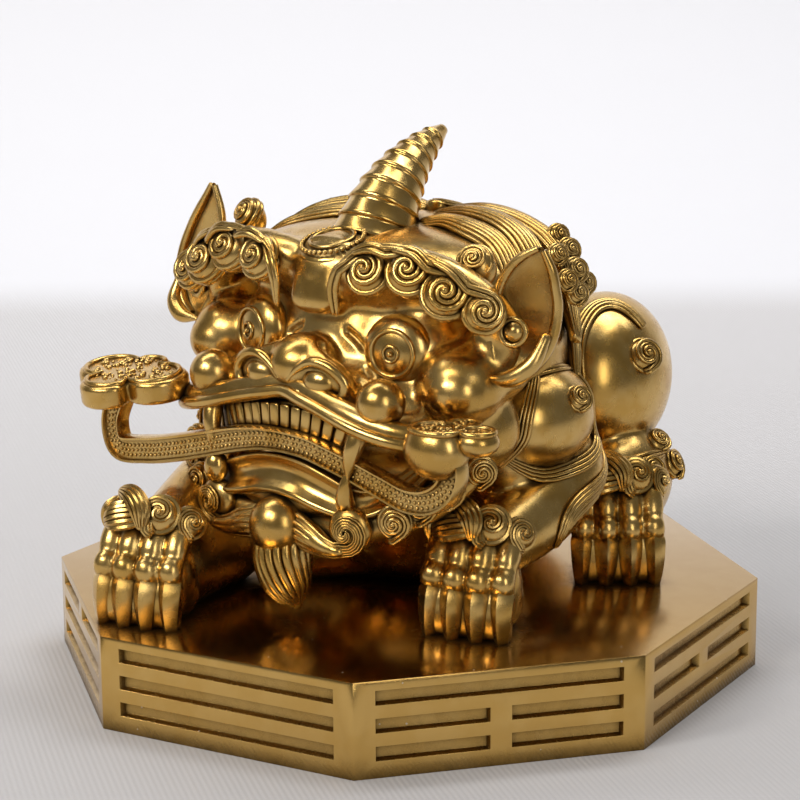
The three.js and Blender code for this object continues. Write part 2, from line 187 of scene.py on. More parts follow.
def crease(obj, lines, width, depth):
    """Draws grooves in a skin, or ridges where depth is negative, fading at their ends."""
    bpy.context.view_layer.update()
    points = corners(obj)
    normals = outward(obj)
    for line in lines:
        path, _ = seat(smooth(line, 5), obj)
        reach = width * 3
        low, high = path.min(axis=0) - reach, path.max(axis=0) + reach
        near = np.nonzero(((points > low) & (points < high)).all(axis=1))[0]
        gap, along = distance_to_line(points[near], path)
        fade = np.clip(np.minimum(along, 1 - along) * 6, 0.15, 1)
        points[near] -= normals[near] * (depth * fade * np.exp(-((gap / width) ** 2)))[:, None]
    move_corners(obj, points)


def smooth(rows, steps):
    """Smooth curve through rows of numbers, of which the first three are a place."""
    rows = np.asarray(rows, float)
    gaps = np.sqrt(np.maximum(np.linalg.norm(np.diff(rows[:, :3], axis=0), axis=1), 1e-6))
    full = np.vstack([2 * rows[0] - rows[1], rows, 2 * rows[-1] - rows[-2]])
    knots = np.concatenate([[0], np.cumsum(np.concatenate([gaps[:1], gaps, gaps[-1:]]))])
    out = []
    for i in range(1, len(full) - 2):
        t0, t1, t2, t3 = knots[i - 1 : i + 3]
        t = np.linspace(t1, t2, steps, endpoint=False)[:, None]
        p0, p1, p2, p3 = full[i - 1 : i + 3]
        a1 = (t1 - t) / (t1 - t0) * p0 + (t - t0) / (t1 - t0) * p1
        a2 = (t2 - t) / (t2 - t1) * p1 + (t - t1) / (t2 - t1) * p2
        a3 = (t3 - t) / (t3 - t2) * p2 + (t - t2) / (t3 - t2) * p3
        b1 = (t2 - t) / (t2 - t0) * a1 + (t - t0) / (t2 - t0) * a2
        b2 = (t3 - t) / (t3 - t1) * a2 + (t - t1) / (t3 - t1) * a3
        out.append((t2 - t) / (t2 - t1) * b1 + (t - t1) / (t2 - t1) * b2)
    return np.vstack(out + [rows[-1:]])


def unit(vectors):
    """The same directions, each of length one."""
    return vectors / np.maximum(np.linalg.norm(vectors, axis=-1, keepdims=True), 1e-9)


def away_from(*centre):
    """Outward directions of points on a rounded mass round that centre."""
    return lambda points: unit(points - np.array(centre, float))


def facing(points, face):
    """Outward direction at each point. face is one direction for all, or a function of the points."""
    return face(points) if callable(face) else np.tile(unit(np.array(face, float)), (len(points), 1))


def run_lengths(path):
    """How far along a path each of its points lies."""
    return np.concatenate([[0], np.cumsum(np.linalg.norm(np.diff(path, axis=0), axis=1))])


def nearest_face(places, normals):
    """Outward directions taken from the nearest of the given places."""
    return lambda points: normals[
        np.argmin(np.linalg.norm(points[:, None] - places[None], axis=2), axis=1)
    ]


def frames(points, face):
    """Along, across and outward directions at each point of a line."""
    along = unit(np.gradient(points, axis=0))
    normal = facing(points, face)
    normal = unit(normal - (normal * along).sum(axis=1)[:, None] * along)
    return along, np.cross(normal, along), normal


def bar(line, radii, face=(0, 0, 1), section=None, sides=12, steps=5):
    """Bar along a smooth line with rounded ends. radii holds (across, thick) or one number for each
    point, and section an outline of (across, thick) shares instead of an oval."""
    pairs = [r if isinstance(r, (tuple, list)) else (r, r) for r in radii]
    rows = np.array([[*point, *pair] for point, pair in zip(line, pairs)], float)
    if steps:
        rows = smooth(rows, steps)
    along, across, normal = frames(rows[:, :3], face)
    cap = np.radians([90, 62, 34])[:, None]
    thick = rows[:, 4].clip(0.02)
    start = np.hstack([rows[0, :3] - np.sin(cap) * along[0] * thick[0], np.cos(cap) * rows[0, 3:]])
    end = np.hstack([rows[-1, :3] + np.sin(cap) * along[-1] * thick[-1], np.cos(cap) * rows[-1, 3:]])
    rows = np.vstack([start, rows, end[::-1]])
    rows[[0, -1], 3:] = 0
    across = np.vstack([across[:1]] * 3 + [across] + [across[-1:]] * 3)
    normal = np.vstack([normal[:1]] * 3 + [normal] + [normal[-1:]] * 3)
    if section is None:
        turn = np.linspace(0, 2 * math.pi, sides, endpoint=False)
        section = np.stack([np.sin(turn), np.cos(turn)], axis=1)
    section = np.asarray(section, float)
    sides, last = len(section), len(rows) - 1
    deselect()
    bpy.ops.mesh.primitive_grid_add(x_subdivisions=sides, y_subdivisions=last, size=1)
    obj = bpy.context.object
    grid = corners(obj) * MM
    column = np.rint((grid[:, 0] + 0.5) * sides).astype(int) % sides
    row = np.rint((grid[:, 1] + 0.5) * last).astype(int)
    wide = across[row] * (section[column, :1] * rows[row, 3:4])
    high = normal[row] * (section[column, 1:] * rows[row, 4:5])
    move_corners(obj, rows[row, :3] + wide + high)
    bpy.ops.object.mode_set(mode="EDIT")
    bpy.ops.mesh.select_all(action="SELECT")
    bpy.ops.mesh.remove_doubles(threshold=1e-6)
    bpy.ops.mesh.normals_make_consistent(inside=False)
    bpy.ops.object.mode_set(mode="OBJECT")
    return obj


def tubes(name, strands, roundness=1):
    """Round strands of changing thickness as one mesh. Each strand is rows of (x, y, z, radius)."""
    deselect()
    bpy.ops.curve.primitive_nurbs_path_add(location=(0, 0, 0))
    path = bpy.context.object
    curve = path.data
    curve.splines.clear()
    curve.bevel_depth = MM
    curve.bevel_resolution = roundness
    curve.use_fill_caps = True
    for rows in strands:
        spline = curve.splines.new("POLY")
        spline.points.add(len(rows) - 1)
        spline.points.foreach_set("co", np.c_[rows[:, :3] * MM, np.ones(len(rows))].ravel())
        spline.points.foreach_set("radius", rows[:, 3])
    bpy.ops.object.convert(target="MESH")
    obj = bpy.context.object
    obj.name = obj.data.name = name
    return obj


def ring(centre, radius, normal, thickness, steps=40):
    """Rows of a closed round rim."""
    normal = unit(np.array(normal, float))
    side = unit(np.cross([0, 0, 1.0], normal))
    rise = np.cross(normal, side)
    angle = np.linspace(0, 2 * math.pi, steps + 1)
    points = np.array(centre) + np.outer(np.cos(angle), side * radius)
    points = points + np.outer(np.sin(angle), rise * radius)
    return np.c_[points, np.full(len(points), thickness)]


STRAND_SHARE = 0.56  # radius of a strand as a share of its part of the width, so that neighbours touch
STRAND_TIP = 0.35  # how much of that radius is left at a strand's ends
WHORL_DOME = 0.3  # how far the middle of a whorl stands out, as a share of its radius


def whorl_path(before, centre, outer, width, normal, turns, hand):
    """Middle line of strands that wind inwards from the point before, with their width."""
    centre, normal = np.array(centre, float), unit(np.array(normal, float))
    first = unit(np.cross(normal, [0.3, 0.2, 1.0]))
    second = np.cross(normal, first)
    reach = outer - width / 2
    away = before - centre
    distance = max(math.hypot(away @ first, away @ second), reach * 1.001)
    start = math.atan2(away @ second, away @ first) + hand * math.acos(reach / distance)
    turns = min(turns, 0.84 * outer / width)
    share = np.linspace(0, turns, max(int(turns * 16), 8))
    angle = start + hand * share * 2 * math.pi
    widths = width * np.clip((turns - share) / 0.7 + 0.4, 0.4, 1)
    radius = outer - width * share - widths / 2
    flat = np.cos(angle)[:, None] * first + np.sin(angle)[:, None] * second
    lift = np.outer(share / turns, normal) * (outer * WHORL_DOME)
    return centre + flat * radius[:, None] + lift, widths


def lock(line, widths, face, strands, arch, whorl=None):
    """Strands of hair lying side by side along a line, in an arch across it. whorl = (centre, radius,
    turns, hand, normal) winds their end into a curl. Returns rows for tubes()."""
    rows = smooth([[*point, width] for point, width in zip(line, widths)], 6)
    points, width = rows[:, :3], rows[:, 3]
    normal = facing(points, face)
    if whorl:
        centre, outer, turns, hand, curl_face = whorl
        curl, curl_width = whorl_path(points[-1], centre, outer, width[-1], curl_face, turns, hand)
        points = np.vstack([points[:-1], curl])
        width = np.concatenate([width[:-1], curl_width])
        normal = np.vstack([normal[:-1], facing(curl, curl_face)])
    along = unit(np.gradient(points, axis=0))
    normal = unit(normal - (normal * along).sum(axis=1)[:, None] * along)
    across = np.cross(normal, along)
    out = []
    for k in range(strands):
        place = (k + 0.5) / strands * 2 - 1
        shift = across * (place * width / 2)[:, None] + normal * (arch * width * (1 - place**2))[:, None]
        radius = width / strands * STRAND_SHARE
        radius[[0, -1]] *= STRAND_TIP
        out.append(np.c_[points + shift, radius])
    return out


# A low arch that reaches deep into the body it lies on.
ROUND = np.linspace(0, 2 * math.pi, 14, endpoint=False)
CORE = [(math.sin(a), math.cos(a) * (1.0 if math.cos(a) > 0 else 2.6)) for a in ROUND]


def tress(line, widths, face, strands, arch):
    """Strands of hair lying on a solid core. Returns rows for tubes() and a list with the core."""
    halves = [(width * 0.45, max(width * arch * 0.95, 0.3)) for width in widths]
    return lock(line, widths, face, strands, arch), [bar(line, halves, face=face, section=CORE)]


def seat(points, skin, lift=0.0):
    """Brings points onto the surface of a finished piece. Returns them and the surface's directions."""
    places, normals = [], []
    for point in points:
        _, place, normal, _ = skin.closest_point_on_mesh(Vector(point) * MM)
        normals.append(np.array(normal))
        places.append(np.array(place) / MM + normals[-1] * lift)
    return np.array(places), np.array(normals)


def whorl_heart(centre, radius, normal):
    """The rounded mass under a whorl, the bead in its middle and the strands round its flank."""
    centre = np.array(centre, float)
    cushion = ball(
        centre - normal * radius * 0.4, (radius * 0.9, radius * 0.9, radius * 0.6), axis=normal, detail=3
    )
    bead = ball(centre + normal * radius * WHORL_DOME * 0.95, (radius * 0.16,) * 3, detail=2)
    flank = [
        ring(centre - normal * radius * deep, radius * wide, normal, radius * 0.15, steps=22)
        for deep, wide in ((0.3, 0.88), (0.56, 0.84))
    ]
    return flank, [cushion, bead]


def curl(centre, radius, normal, hand, turns=2.1, strands=2, share=0.42, start=(0, 0, -1)):
    """A snail curl that stands by itself: strands wound to a bead, over a rounded cushion."""
    centre, normal = np.array(centre, float), unit(np.array(normal, float))
    width = radius * share
    before = centre + np.array(start, float) * radius * 1.05
    before -= normal * ((before - centre) @ normal)
    aside = unit(np.cross(normal, before - centre)) * -hand * radius * 0.35
    lead = before + aside - normal * radius * 0.2
    whorl = (centre, radius, turns, hand, normal)
    rows = lock([lead, before], [width * 0.7, width], normal, strands, 0.1, whorl)
    flank, parts = whorl_heart(centre, radius, normal)
    return rows + flank, parts


def mirror_point(point, side):
    """A point on the head's left, or on its right where side is -1."""
    return [side * point[0], point[1], point[2]]


def gather(rows, parts, hair):
    """Adds strands, and the solids that they lie on, to the lists of a piece."""
    rows.extend(hair[0])
    parts.extend(hair[1])


def flip(line, side):
    """A line on the head's left, or on its right where side is -1."""
    return [[side * x, y, z] for x, y, z in line]


def both_ways(half):
    """A half line from the middle outwards becomes a whole one from right to left."""
    return [[-x, y, z] for x, y, z in reversed(half[1:])] + [list(p) for p in half]


def body_line(line, side):
    """A line measured from the spine, on one side of the body."""
    return [[SPINE + side * x, y, z] for x, y, z in line]


def to_head(obj):
    """Takes a piece from the head's frame to the whole one."""
    obj.data.transform(HEAD)
    obj.data.update()
    return obj


def cut_at_floor(obj):
    """Takes away what is below the top of the plinth and closes the cut."""
    alone(obj)
    bpy.ops.object.mode_set(mode="EDIT")
    bpy.ops.mesh.select_all(action="SELECT")
    bpy.ops.mesh.bisect(plane_co=(0, 0, CUT * MM), plane_no=(0, 0, 1), use_fill=True, clear_inner=True)
    bpy.ops.object.mode_set(mode="OBJECT")


def copies(name, pattern, places):
    """One mesh with a modelled shape at many places, each a 4x4 matrix in metres."""
    alone(pattern)
    mesh = pattern.data
    points = np.c_[corners(pattern) * MM, np.ones(len(mesh.vertices))]
    faces = [list(p.vertices) for p in mesh.polygons]
    every, all_faces = [], []
    for k, place in enumerate(places):
        every.append((points @ np.array(place).T)[:, :3])
        all_faces += [[v + k * len(points) for v in face] for face in faces]
    whole = bpy.data.meshes.new(name)
    whole.from_pydata(np.vstack(every).tolist(), [], all_faces)
    obj = bpy.data.objects.new(name, whole)
    bpy.context.collection.objects.link(obj)
    bpy.data.objects.remove(pattern, do_unlink=True)
    return obj


def piece(obj, name, node, material, angle=None):
    """Finishes a piece: its name, shading and material, and what it stands for."""
    alone(obj)
    obj.name = obj.data.name = name
    if angle is None:
        bpy.ops.object.shade_smooth()
    else:
        bpy.ops.object.shade_smooth_by_angle(angle=math.radians(angle))
    obj.data.materials.clear()
    obj.data.materials.append(material)
    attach(obj, BODY)
    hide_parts(node)
    return obj


# Finishes


def linear(code):
    """sRGB hex to the linear colour that shaders take."""
    channels = [int(code[k : k + 2], 16) / 255 for k in (1, 3, 5)]
    return (*[c / 12.92 if c <= 0.04045 else ((c + 0.055) / 1.055) ** 2.4 for c in channels], 1.0)


def add_node(tree, kind, settings=None, inputs=None, out=0):
    """Adds a node with its settings and returns one of its outputs. inputs gives sockets a value or the
    output of another node."""
    node = tree.nodes.new("ShaderNode" + kind)
    for key, value in (settings or {}).items():
        setattr(node, key, value)
    for key, value in (inputs or {}).items():
        if isinstance(value, bpy.types.NodeSocket):
            tree.links.new(value, node.inputs[key])
        else:
            node.inputs[key].default_value = value
    return node.outputs[out] if len(node.outputs) else None


SOFT = {"interpolation_type": "SMOOTHSTEP"}  # for a range that eases in and out at its ends
COLOURS = {"data_type": "RGBA"}  # a mix node then has its colours on sockets 6 and 7 and the result on 2
MULTIPLY = {"operation": "MULTIPLY"}
SLANTED = {"bands_direction": "DIAGONAL"}
WAVE = 0.2 * math.pi  # distance from one band to the next in a wave texture of scale 1
RIDGE_PITCH = 1.496  # of the file's ridges, a little coarser than real ones, so that they show
THREAD_PITCH = 1.904  # of the backdrop's threads


def new_material(name):
    """A material without nodes. Returns it with its tree and the place on the piece."""
    material = bpy.data.materials.new(name)
    material.use_nodes = True
    tree = material.node_tree
    tree.nodes.clear()
    return material, tree, add_node(tree, "TexCoord", out="Object")


def file_marks_and_top_shade(tree, place, colour, roughness, normal):
    """Marks on the plinth: pale specks of dust, fine scratches and slanted ridges along its foot, left by a
    file and the years, and painted shade that mixes its top face towards brown."""
    values = {"Vector": place, "Scale": 1 / (5.5 * MM), "Randomness": 1.0}
    cells = add_node(tree, "TexVoronoi", None, values)
    values = {"Value": cells, "From Min": 0.025, "From Max": 0.05, "To Min": 1.0, "To Max": 0.0}
    speck = add_node(tree, "MapRange", SOFT, values)
    colour = add_node(tree, "Mix", COLOURS, {0: speck, 6: colour, 7: linear("#E8E2D4")}, 2)
    # Painted shade: the top face is mixed towards brown so that it reads darker than the sides.
    height = add_node(tree, "SeparateXYZ", None, {"Vector": place}, "Z")
    start, full = (FLOOR - 0.8) * MM, (FLOOR - 0.2) * MM
    values = {"Value": height, "From Min": start, "From Max": full, "To Max": 0.4}
    painted_top_shade = add_node(tree, "MapRange", SOFT, values)
    colour = add_node(tree, "Mix", COLOURS, {0: painted_top_shade, 6: colour, 7: linear("#8F6C3C")}, 2)
    dusty = add_node(tree, "MapRange", SOFT, {"Value": speck, "To Max": 0.8})
    roughness = add_node(tree, "Math", {"operation": "MAXIMUM"}, {0: dusty, 1: roughness})
    values = {"Vector": place, "Rotation": (0.5, 0.5, 0.0), "Scale": (1.0, 1.0, 14.0)}
    drawn = add_node(tree, "Mapping", None, values)
    values = {"Vector": drawn, "Scale": 1 / (2.4 * MM), "Detail": 4.0, "Roughness": 0.55}
    scratches = add_node(tree, "TexNoise", None, values)
    values = {"Height": scratches, "Normal": normal, "Strength": 1.0, "Distance": 0.004 * MM}
    normal = add_node(tree, "Bump", None, values)
    values = {"Vector": place, "Scale": WAVE / (RIDGE_PITCH * MM), "Distortion": 1.5}
    teeth = add_node(tree, "TexWave", SLANTED, values, "Fac")
    values = {"Value": height, "From Min": 2.2 * MM, "From Max": 3.2 * MM, "To Min": 1.0, "To Max": 0.0}
    foot = add_node(tree, "MapRange", SOFT, values)
    ridges = add_node(tree, "Math", MULTIPLY, {0: teeth, 1: foot})
    values = {"Height": ridges, "Normal": normal, "Strength": 1.0, "Distance": 0.06 * MM}
    return colour, roughness, add_node(tree, "Bump", None, values)


def cast_brass(name, colours, polish, grain, cloud=0.6, wave=0.012, reach=2.6, filed=False):
    """Cast brass, filed and buffed by hand: bright crests, a fine sandy skin left from the mould, and
    brown tarnish that polishing can't reach in the hollows. grain, wave and reach are in millimetres."""
    material, tree, place = new_material(name)
    noises = []
    for size, detail in ((9.0, 3.0), (3.0, 2.0), (0.2, 2.0), (4.0, 1.0)):
        values = {"Vector": place, "Scale": 1 / (size * MM), "Detail": detail, "Roughness": 0.55}
        noises.append(add_node(tree, "TexNoise", None, values))
    broad, blotch, fine, dents = noises

    # Tarnish gathers where other metal stands close, in patches rather than evenly.
    settings = {"samples": 6, "only_local": False}
    hollow = add_node(tree, "AmbientOcclusion", settings, {"Distance": reach * MM}, "AO")
    clear = 0.95 if filed else 0.88
    values = {"Value": hollow, "From Min": 0.3, "From Max": clear, "To Min": 1.0, "To Max": 0.0}
    closed = add_node(tree, "MapRange", SOFT, values)
    values = {"Value": blotch, "From Min": 0.2, "From Max": 0.8, "To Min": 0.75, "To Max": 1.0}
    patches = add_node(tree, "MapRange", SOFT, values)
    dulled = add_node(tree, "Math", MULTIPLY, {0: closed, 1: patches})

    # Where the brass is open it turns from bright to warm in broad clouds.
    low, high = 0.5 - 0.5 * cloud, 0.5 + 0.5 * cloud
    values = {"Value": broad, "From Min": 0.38, "From Max": 0.62, "To Min": low, "To Max": high}
    thin = add_node(tree, "MapRange", SOFT, values)
    tones = {key: linear(code) for key, code in colours.items()}
    metal = add_node(tree, "Mix", COLOURS, {0: thin, 6: tones["bright"], 7: tones["warm"]}, 2)
    colour = add_node(tree, "Mix", COLOURS, {0: dulled, 6: metal, 7: tones["tarnish"]}, 2)

    # Buffing leaves it a little uneven, and tarnish is rougher than metal.
    low, high = polish * 0.85, polish * 1.15
    values = {"Value": blotch, "From Min": 0.2, "From Max": 0.8, "To Min": low, "To Max": high}
    uneven = add_node(tree, "MapRange", SOFT, values)
    roughness = add_node(tree, "Math", {"operation": "MULTIPLY_ADD"}, {0: dulled, 1: 0.3, 2: uneven})

    # Slow dents make highlights wander, and under them lies the mould's sandy grain, coarser in hollows.
    normal = add_node(tree, "Bump", None, {"Height": dents, "Strength": 1.0, "Distance": wave * MM})
    # File marks, dust, and painted shade on the top face.
    if filed:
        colour, roughness, normal = file_marks_and_top_shade(tree, place, colour, roughness, normal)
    values = {"Value": dulled, "From Min": 0.0, "From Max": 0.8, "To Min": 1.0, "To Max": 3.5}
    coarser = add_node(tree, "MapRange", SOFT, values)
    sandy = add_node(tree, "Math", MULTIPLY, {0: fine, 1: coarser})
    values = {"Height": sandy, "Normal": normal, "Strength": 1.0, "Distance": grain * MM}
    skin = add_node(tree, "Bump", None, values)
    values = {"Base Color": colour, "Metallic": 1.0, "Roughness": roughness, "Normal": skin}
    surface = add_node(tree, "BsdfPrincipled", None, values)
    add_node(tree, "OutputMaterial", None, {"Surface": surface})
    return material


def woven_cloth(stage):
    """Woven backdrop cloth: matt, with threads that show where it lies on the floor."""
    material, tree, place = new_material("woven_cloth_backdrop")
    values = {"Vector": place, "Scale": WAVE / (THREAD_PITCH * MM), "Distortion": 0.4}
    weave = add_node(tree, "TexWave", SLANTED, values, "Fac")
    height = add_node(tree, "SeparateXYZ", None, {"Vector": place}, "Z")
    values = {"Value": height, "From Min": 0.0, "From Max": 10 * MM, "To Min": 1.0, "To Max": 0.0}
    lying = add_node(tree, "MapRange", SOFT, values)
    colour = add_node(tree, "Mix", COLOURS, {0: lying, 6: linear(stage.wall), 7: linear(stage.cloth)}, 2)
    threads = add_node(tree, "Math", MULTIPLY, {0: weave, 1: lying})
    normal = add_node(tree, "Bump", None, {"Height": threads, "Strength": 0.3, "Distance": 0.2 * MM})
    values = {"Base Color": colour, "Roughness": 0.9, "Normal": normal}
    surface = add_node(tree, "BsdfPrincipled", None, values)
    add_node(tree, "OutputMaterial", None, {"Surface": surface})
    return material


FINISHES = {}


def finish(kind):
    """The material of that kind, made once from the panel's colours."""
    if kind not in FINISHES:
        panel = bpy.context.scene.brass_finish
        colours = {"bright": panel.bright, "warm": panel.warm, "tarnish": panel.tarnish}
        name, share, settings = {
            "beast": ("cast_brass_buffed", 1.0, {"grain": 0.015}),
            "polished": ("cast_brass_polished", 0.85, {"grain": 0.009}),
            "plinth": (
                "cast_brass_filed",
                0.62,
                {"grain": 0.008, "cloud": 0.2, "wave": 0.008, "reach": 6.5, "filed": True},
            ),
        }[kind]
        FINISHES[kind] = cast_brass(name, colours, panel.polish * share, **settings)
    return FINISHES[kind]


# Settings that a user would change


def length(name, description, default):
    """A length property in metres, written here in millimetres."""
    return bpy.props.FloatProperty(
        name=name, description=description, default=default * MM, min=0, unit="LENGTH", subtype="DISTANCE"
    )


def hex_colour(name, description, default):
    """A colour written as an sRGB hex code."""
    return bpy.props.StringProperty(name=name, description=description, default=default, maxlen=7)


class PlinthSettings(bpy.types.PropertyGroup):
    """Sizes of the eight-sided plinth."""

    width: length(
        "Width", "Distance across two opposite flats", (PLINTH_BOX[1][0] - PLINTH_BOX[0][0]) / MM
    )
    height: length("Height", "Height of the plinth", (PLINTH_BOX[1][2] - PLINTH_BOX[0][2]) / MM)
    wear: length("Edge wear", "How far the edges are rounded", 1.5)
    groove_height: length("Groove height", "Height of one line of a trigram", 4.1)
    groove_depth: length("Groove depth", "How deep the trigram lines are cut", 1.6)


class BeastSettings(bpy.types.PropertyGroup):
    """Sizes of the beast's repeated parts."""

    head_skin: length("Head detail", "Spacing of the head's skin", 0.6)
    body_skin: length("Body detail", "Spacing of the body's skin", 0.95)
    paw_skin: length("Paw detail", "Spacing of the paws' skin", 0.5)
    horn_bands: bpy.props.IntProperty(
        name="Horn bands", description="Rings round the horn", default=9, min=1
    )
    teeth: bpy.props.IntProperty(
        name="Upper teeth", description="Teeth between the fangs", default=15, min=1
    )
    staff_bead: length("Sceptre bead", "Radius of one bead on the sceptre", 0.42)


class FinishSettings(bpy.types.PropertyGroup):
    """Colours and polish of the brass."""

    bright: hex_colour("Bright brass", "Colour of rubbed brass", "#E2BE77")
    warm: hex_colour("Warm brass", "Colour of brass under a thin tarnish", "#CA9E4D")
    tarnish: hex_colour("Tarnish", "Colour in the hollows", "#2E1D0B")
    polish: bpy.props.FloatProperty(
        name="Roughness",
        description="Roughness of buffed brass",
        default=0.255,
        min=0,
        max=1,
        subtype="FACTOR",
    )


class StageSettings(bpy.types.PropertyGroup):
    """Floor and light."""

    cloth: hex_colour("Floor", "Colour of the cloth on the floor", "#C4C2C3")
    wall: hex_colour("Wall", "Colour of the cloth behind the beast", "#DBDBDF")
    key_power: bpy.props.FloatProperty(
        name="Key light", description="Power of the key light", default=4.2, min=0, unit="POWER"
    )


# Plinth

LINE_MARGIN = 4.5  # from an end of a side to its trigram lines
LINE_SPLIT = 4  # gap in the middle of a broken line
LINE_TOP = 1.8  # from the plinth's top to the upper line
LINE_PITCH = 6.3  # from one line to the next
END_SLOPE = 0.9  # how far a groove's ends lean in towards its floor
SIDE_SLOPE = 0.8  # how far its long sides do


def groove(length_along, height, depth):
    """A bar with sloped ends and sides, to cut one line of a trigram, pointing to +Y."""
    deselect()
    bpy.ops.mesh.primitive_cube_add(size=1)
    obj = settle(bpy.context.object, Vector((length_along, 2 * depth, height)) * MM)
    points = corners(obj)
    inner = points[:, 1] > 0
    points[inner, 0] -= np.sign(points[inner, 0]) * END_SLOPE
    points[inner, 2] -= np.sign(points[inner, 2]) * SIDE_SLOPE
    move_corners(obj, points)
    return obj


class BRASS_OT_plinth(bpy.types.Operator):
    """Model the eight-sided plinth with a trigram on each side"""

    bl_idname = "brass_beast.plinth"
    bl_label = "Plinth"

    def execute(self, context):
        sizes = context.scene.plinth_sizes
        width, height = sizes.width / MM, sizes.height / MM
        corner = width / 2 / math.cos(math.pi / 8)
        deselect()
        bpy.ops.mesh.primitive_cylinder_add(
            vertices=8, radius=corner * MM, depth=height * MM, location=(0, 0, height / 2 * MM)
        )
        plinth = bpy.context.object
        plinth.rotation_euler = (0, 0, math.pi / 8)
        settle(plinth)
        full = width * math.tan(math.pi / 8) - 2 * LINE_MARGIN
        half = (full - LINE_SPLIT) / 2
        middle = (half + LINE_SPLIT) / 2
        tall, deep = sizes.groove_height / MM, sizes.groove_depth / MM
        cutters = []
        for face, lines in enumerate(TRIGRAMS):
            turn = Matrix.Rotation(face * math.pi / 4, 4, "Z")
            for row, line in enumerate(lines):
                z = height - LINE_TOP - tall / 2 - row * LINE_PITCH
                for x, span in [(0, full)] if line == "1" else [(-middle, half), (middle, half)]:
                    cutter = groove(span, tall, deep)
                    cutter.data.transform(turn @ Matrix.Translation(Vector((x, -width / 2, z)) * MM))
                    cutters.append(cutter)
        cutter = join("grooves", cutters)
        apply(plinth, "BOOLEAN", object=cutter, operation="DIFFERENCE", solver="EXACT")
        bpy.data.objects.remove(cutter, do_unlink=True)
        apply(
            plinth,
            "BEVEL",
            width=sizes.wear / 2,
            segments=3,
            limit_method="ANGLE",
            angle_limit=math.radians(25),
        )
        piece(plinth, "plinth_octagon", "plinth", finish("plinth"), angle=32)
        return {"FINISHED"}


# Body


def side_mass(at, radii, side, turn=0):
    """Ellipsoid on one side of the body, its place measured from the spine."""
    return ball([SPINE + side * at[0], at[1], at[2]], radii, side * turn)


class BRASS_OT_body(bpy.types.Operator):
    """Model the chest, back, haunches and shoulders as one smooth mass"""

    bl_idname = "brass_beast.body"
    bl_label = "Body"

    def execute(self, context):
        masses = [
            side_mass((1, 3, 58), (32, 32, 40), 1),  # chest
            side_mass((0, 34, 56), (33, 38, 36), 1),  # belly and loins
            side_mass((0, -2, 74), (30, 24, 24), 1),  # neck
            side_mass((1, 50, 79), (10, 20, 16), 1),  # rump
        ]
        for side, x, y in FORE_PAWS:
            elbow = [(SPINE + side * 40 + x) / 2 + side * 2, y / 2 + 4, 45]
            arm = [*body_line([(39, 2, 52)], side), elbow, [x + side, y + 6, 40]]
            masses.append(bar(arm, [12, 10, 8], sides=24))
        for side in (1, -1):
            masses.append(side_mass((42, 34, 42), (11, 17, 14), side))  # knee
        breast = [(-21, -17.5, 32), (-8, -11, 34), (6, -5, 34), (20, -2, 34)]
        masses.append(bar(breast, [(13, 9)] * 4, face=(0.37, -0.93, 0), sides=24))
        forearm = [(-31.5, -28, 32), (-32, -40, 32), (-31.5, -53, 31)]
        masses.append(bar(forearm, [(7.6, 11.5), (7.8, 11.5), (7.4, 10.5)], sides=24))
        body = cast(join("body", masses), 1.6, 12)
        limbs = [body]
        for side in (1, -1):
            limbs.append(side_mass((32, -8, 61), (13, 18, 18), side))  # shoulder
            limbs.append(side_mass((38.1, -7.8, 66.4), (13.1, 16.3, 12.6), side))  # dome on the shoulder
            limbs.append(side_mass((32, 42, 66), (17, 24, 21), side, 12))  # haunch
        body = cast(join("body", limbs), context.scene.beast_sizes.body_skin / MM, 5)
        cut_at_floor(body)
        piece(body, "beast_body", "beast", finish("beast"))
        return {"FINISHED"}


# Paws

TOE_PITCH = 5.5  # from the middle of one toe to the next


def toe(out, shape, section=None):
    """A stretch of one toe. shape holds reach ahead, height, half width and half thickness."""
    back = abs(out) * 0.2
    line = [(out * (1 + (20 - height) * 0.003), back - reach, height) for reach, height, _, _ in shape]
    return bar(line, [row[2:] for row in shape], face=(0, -1, 0.25), section=section, sides=20, steps=4)


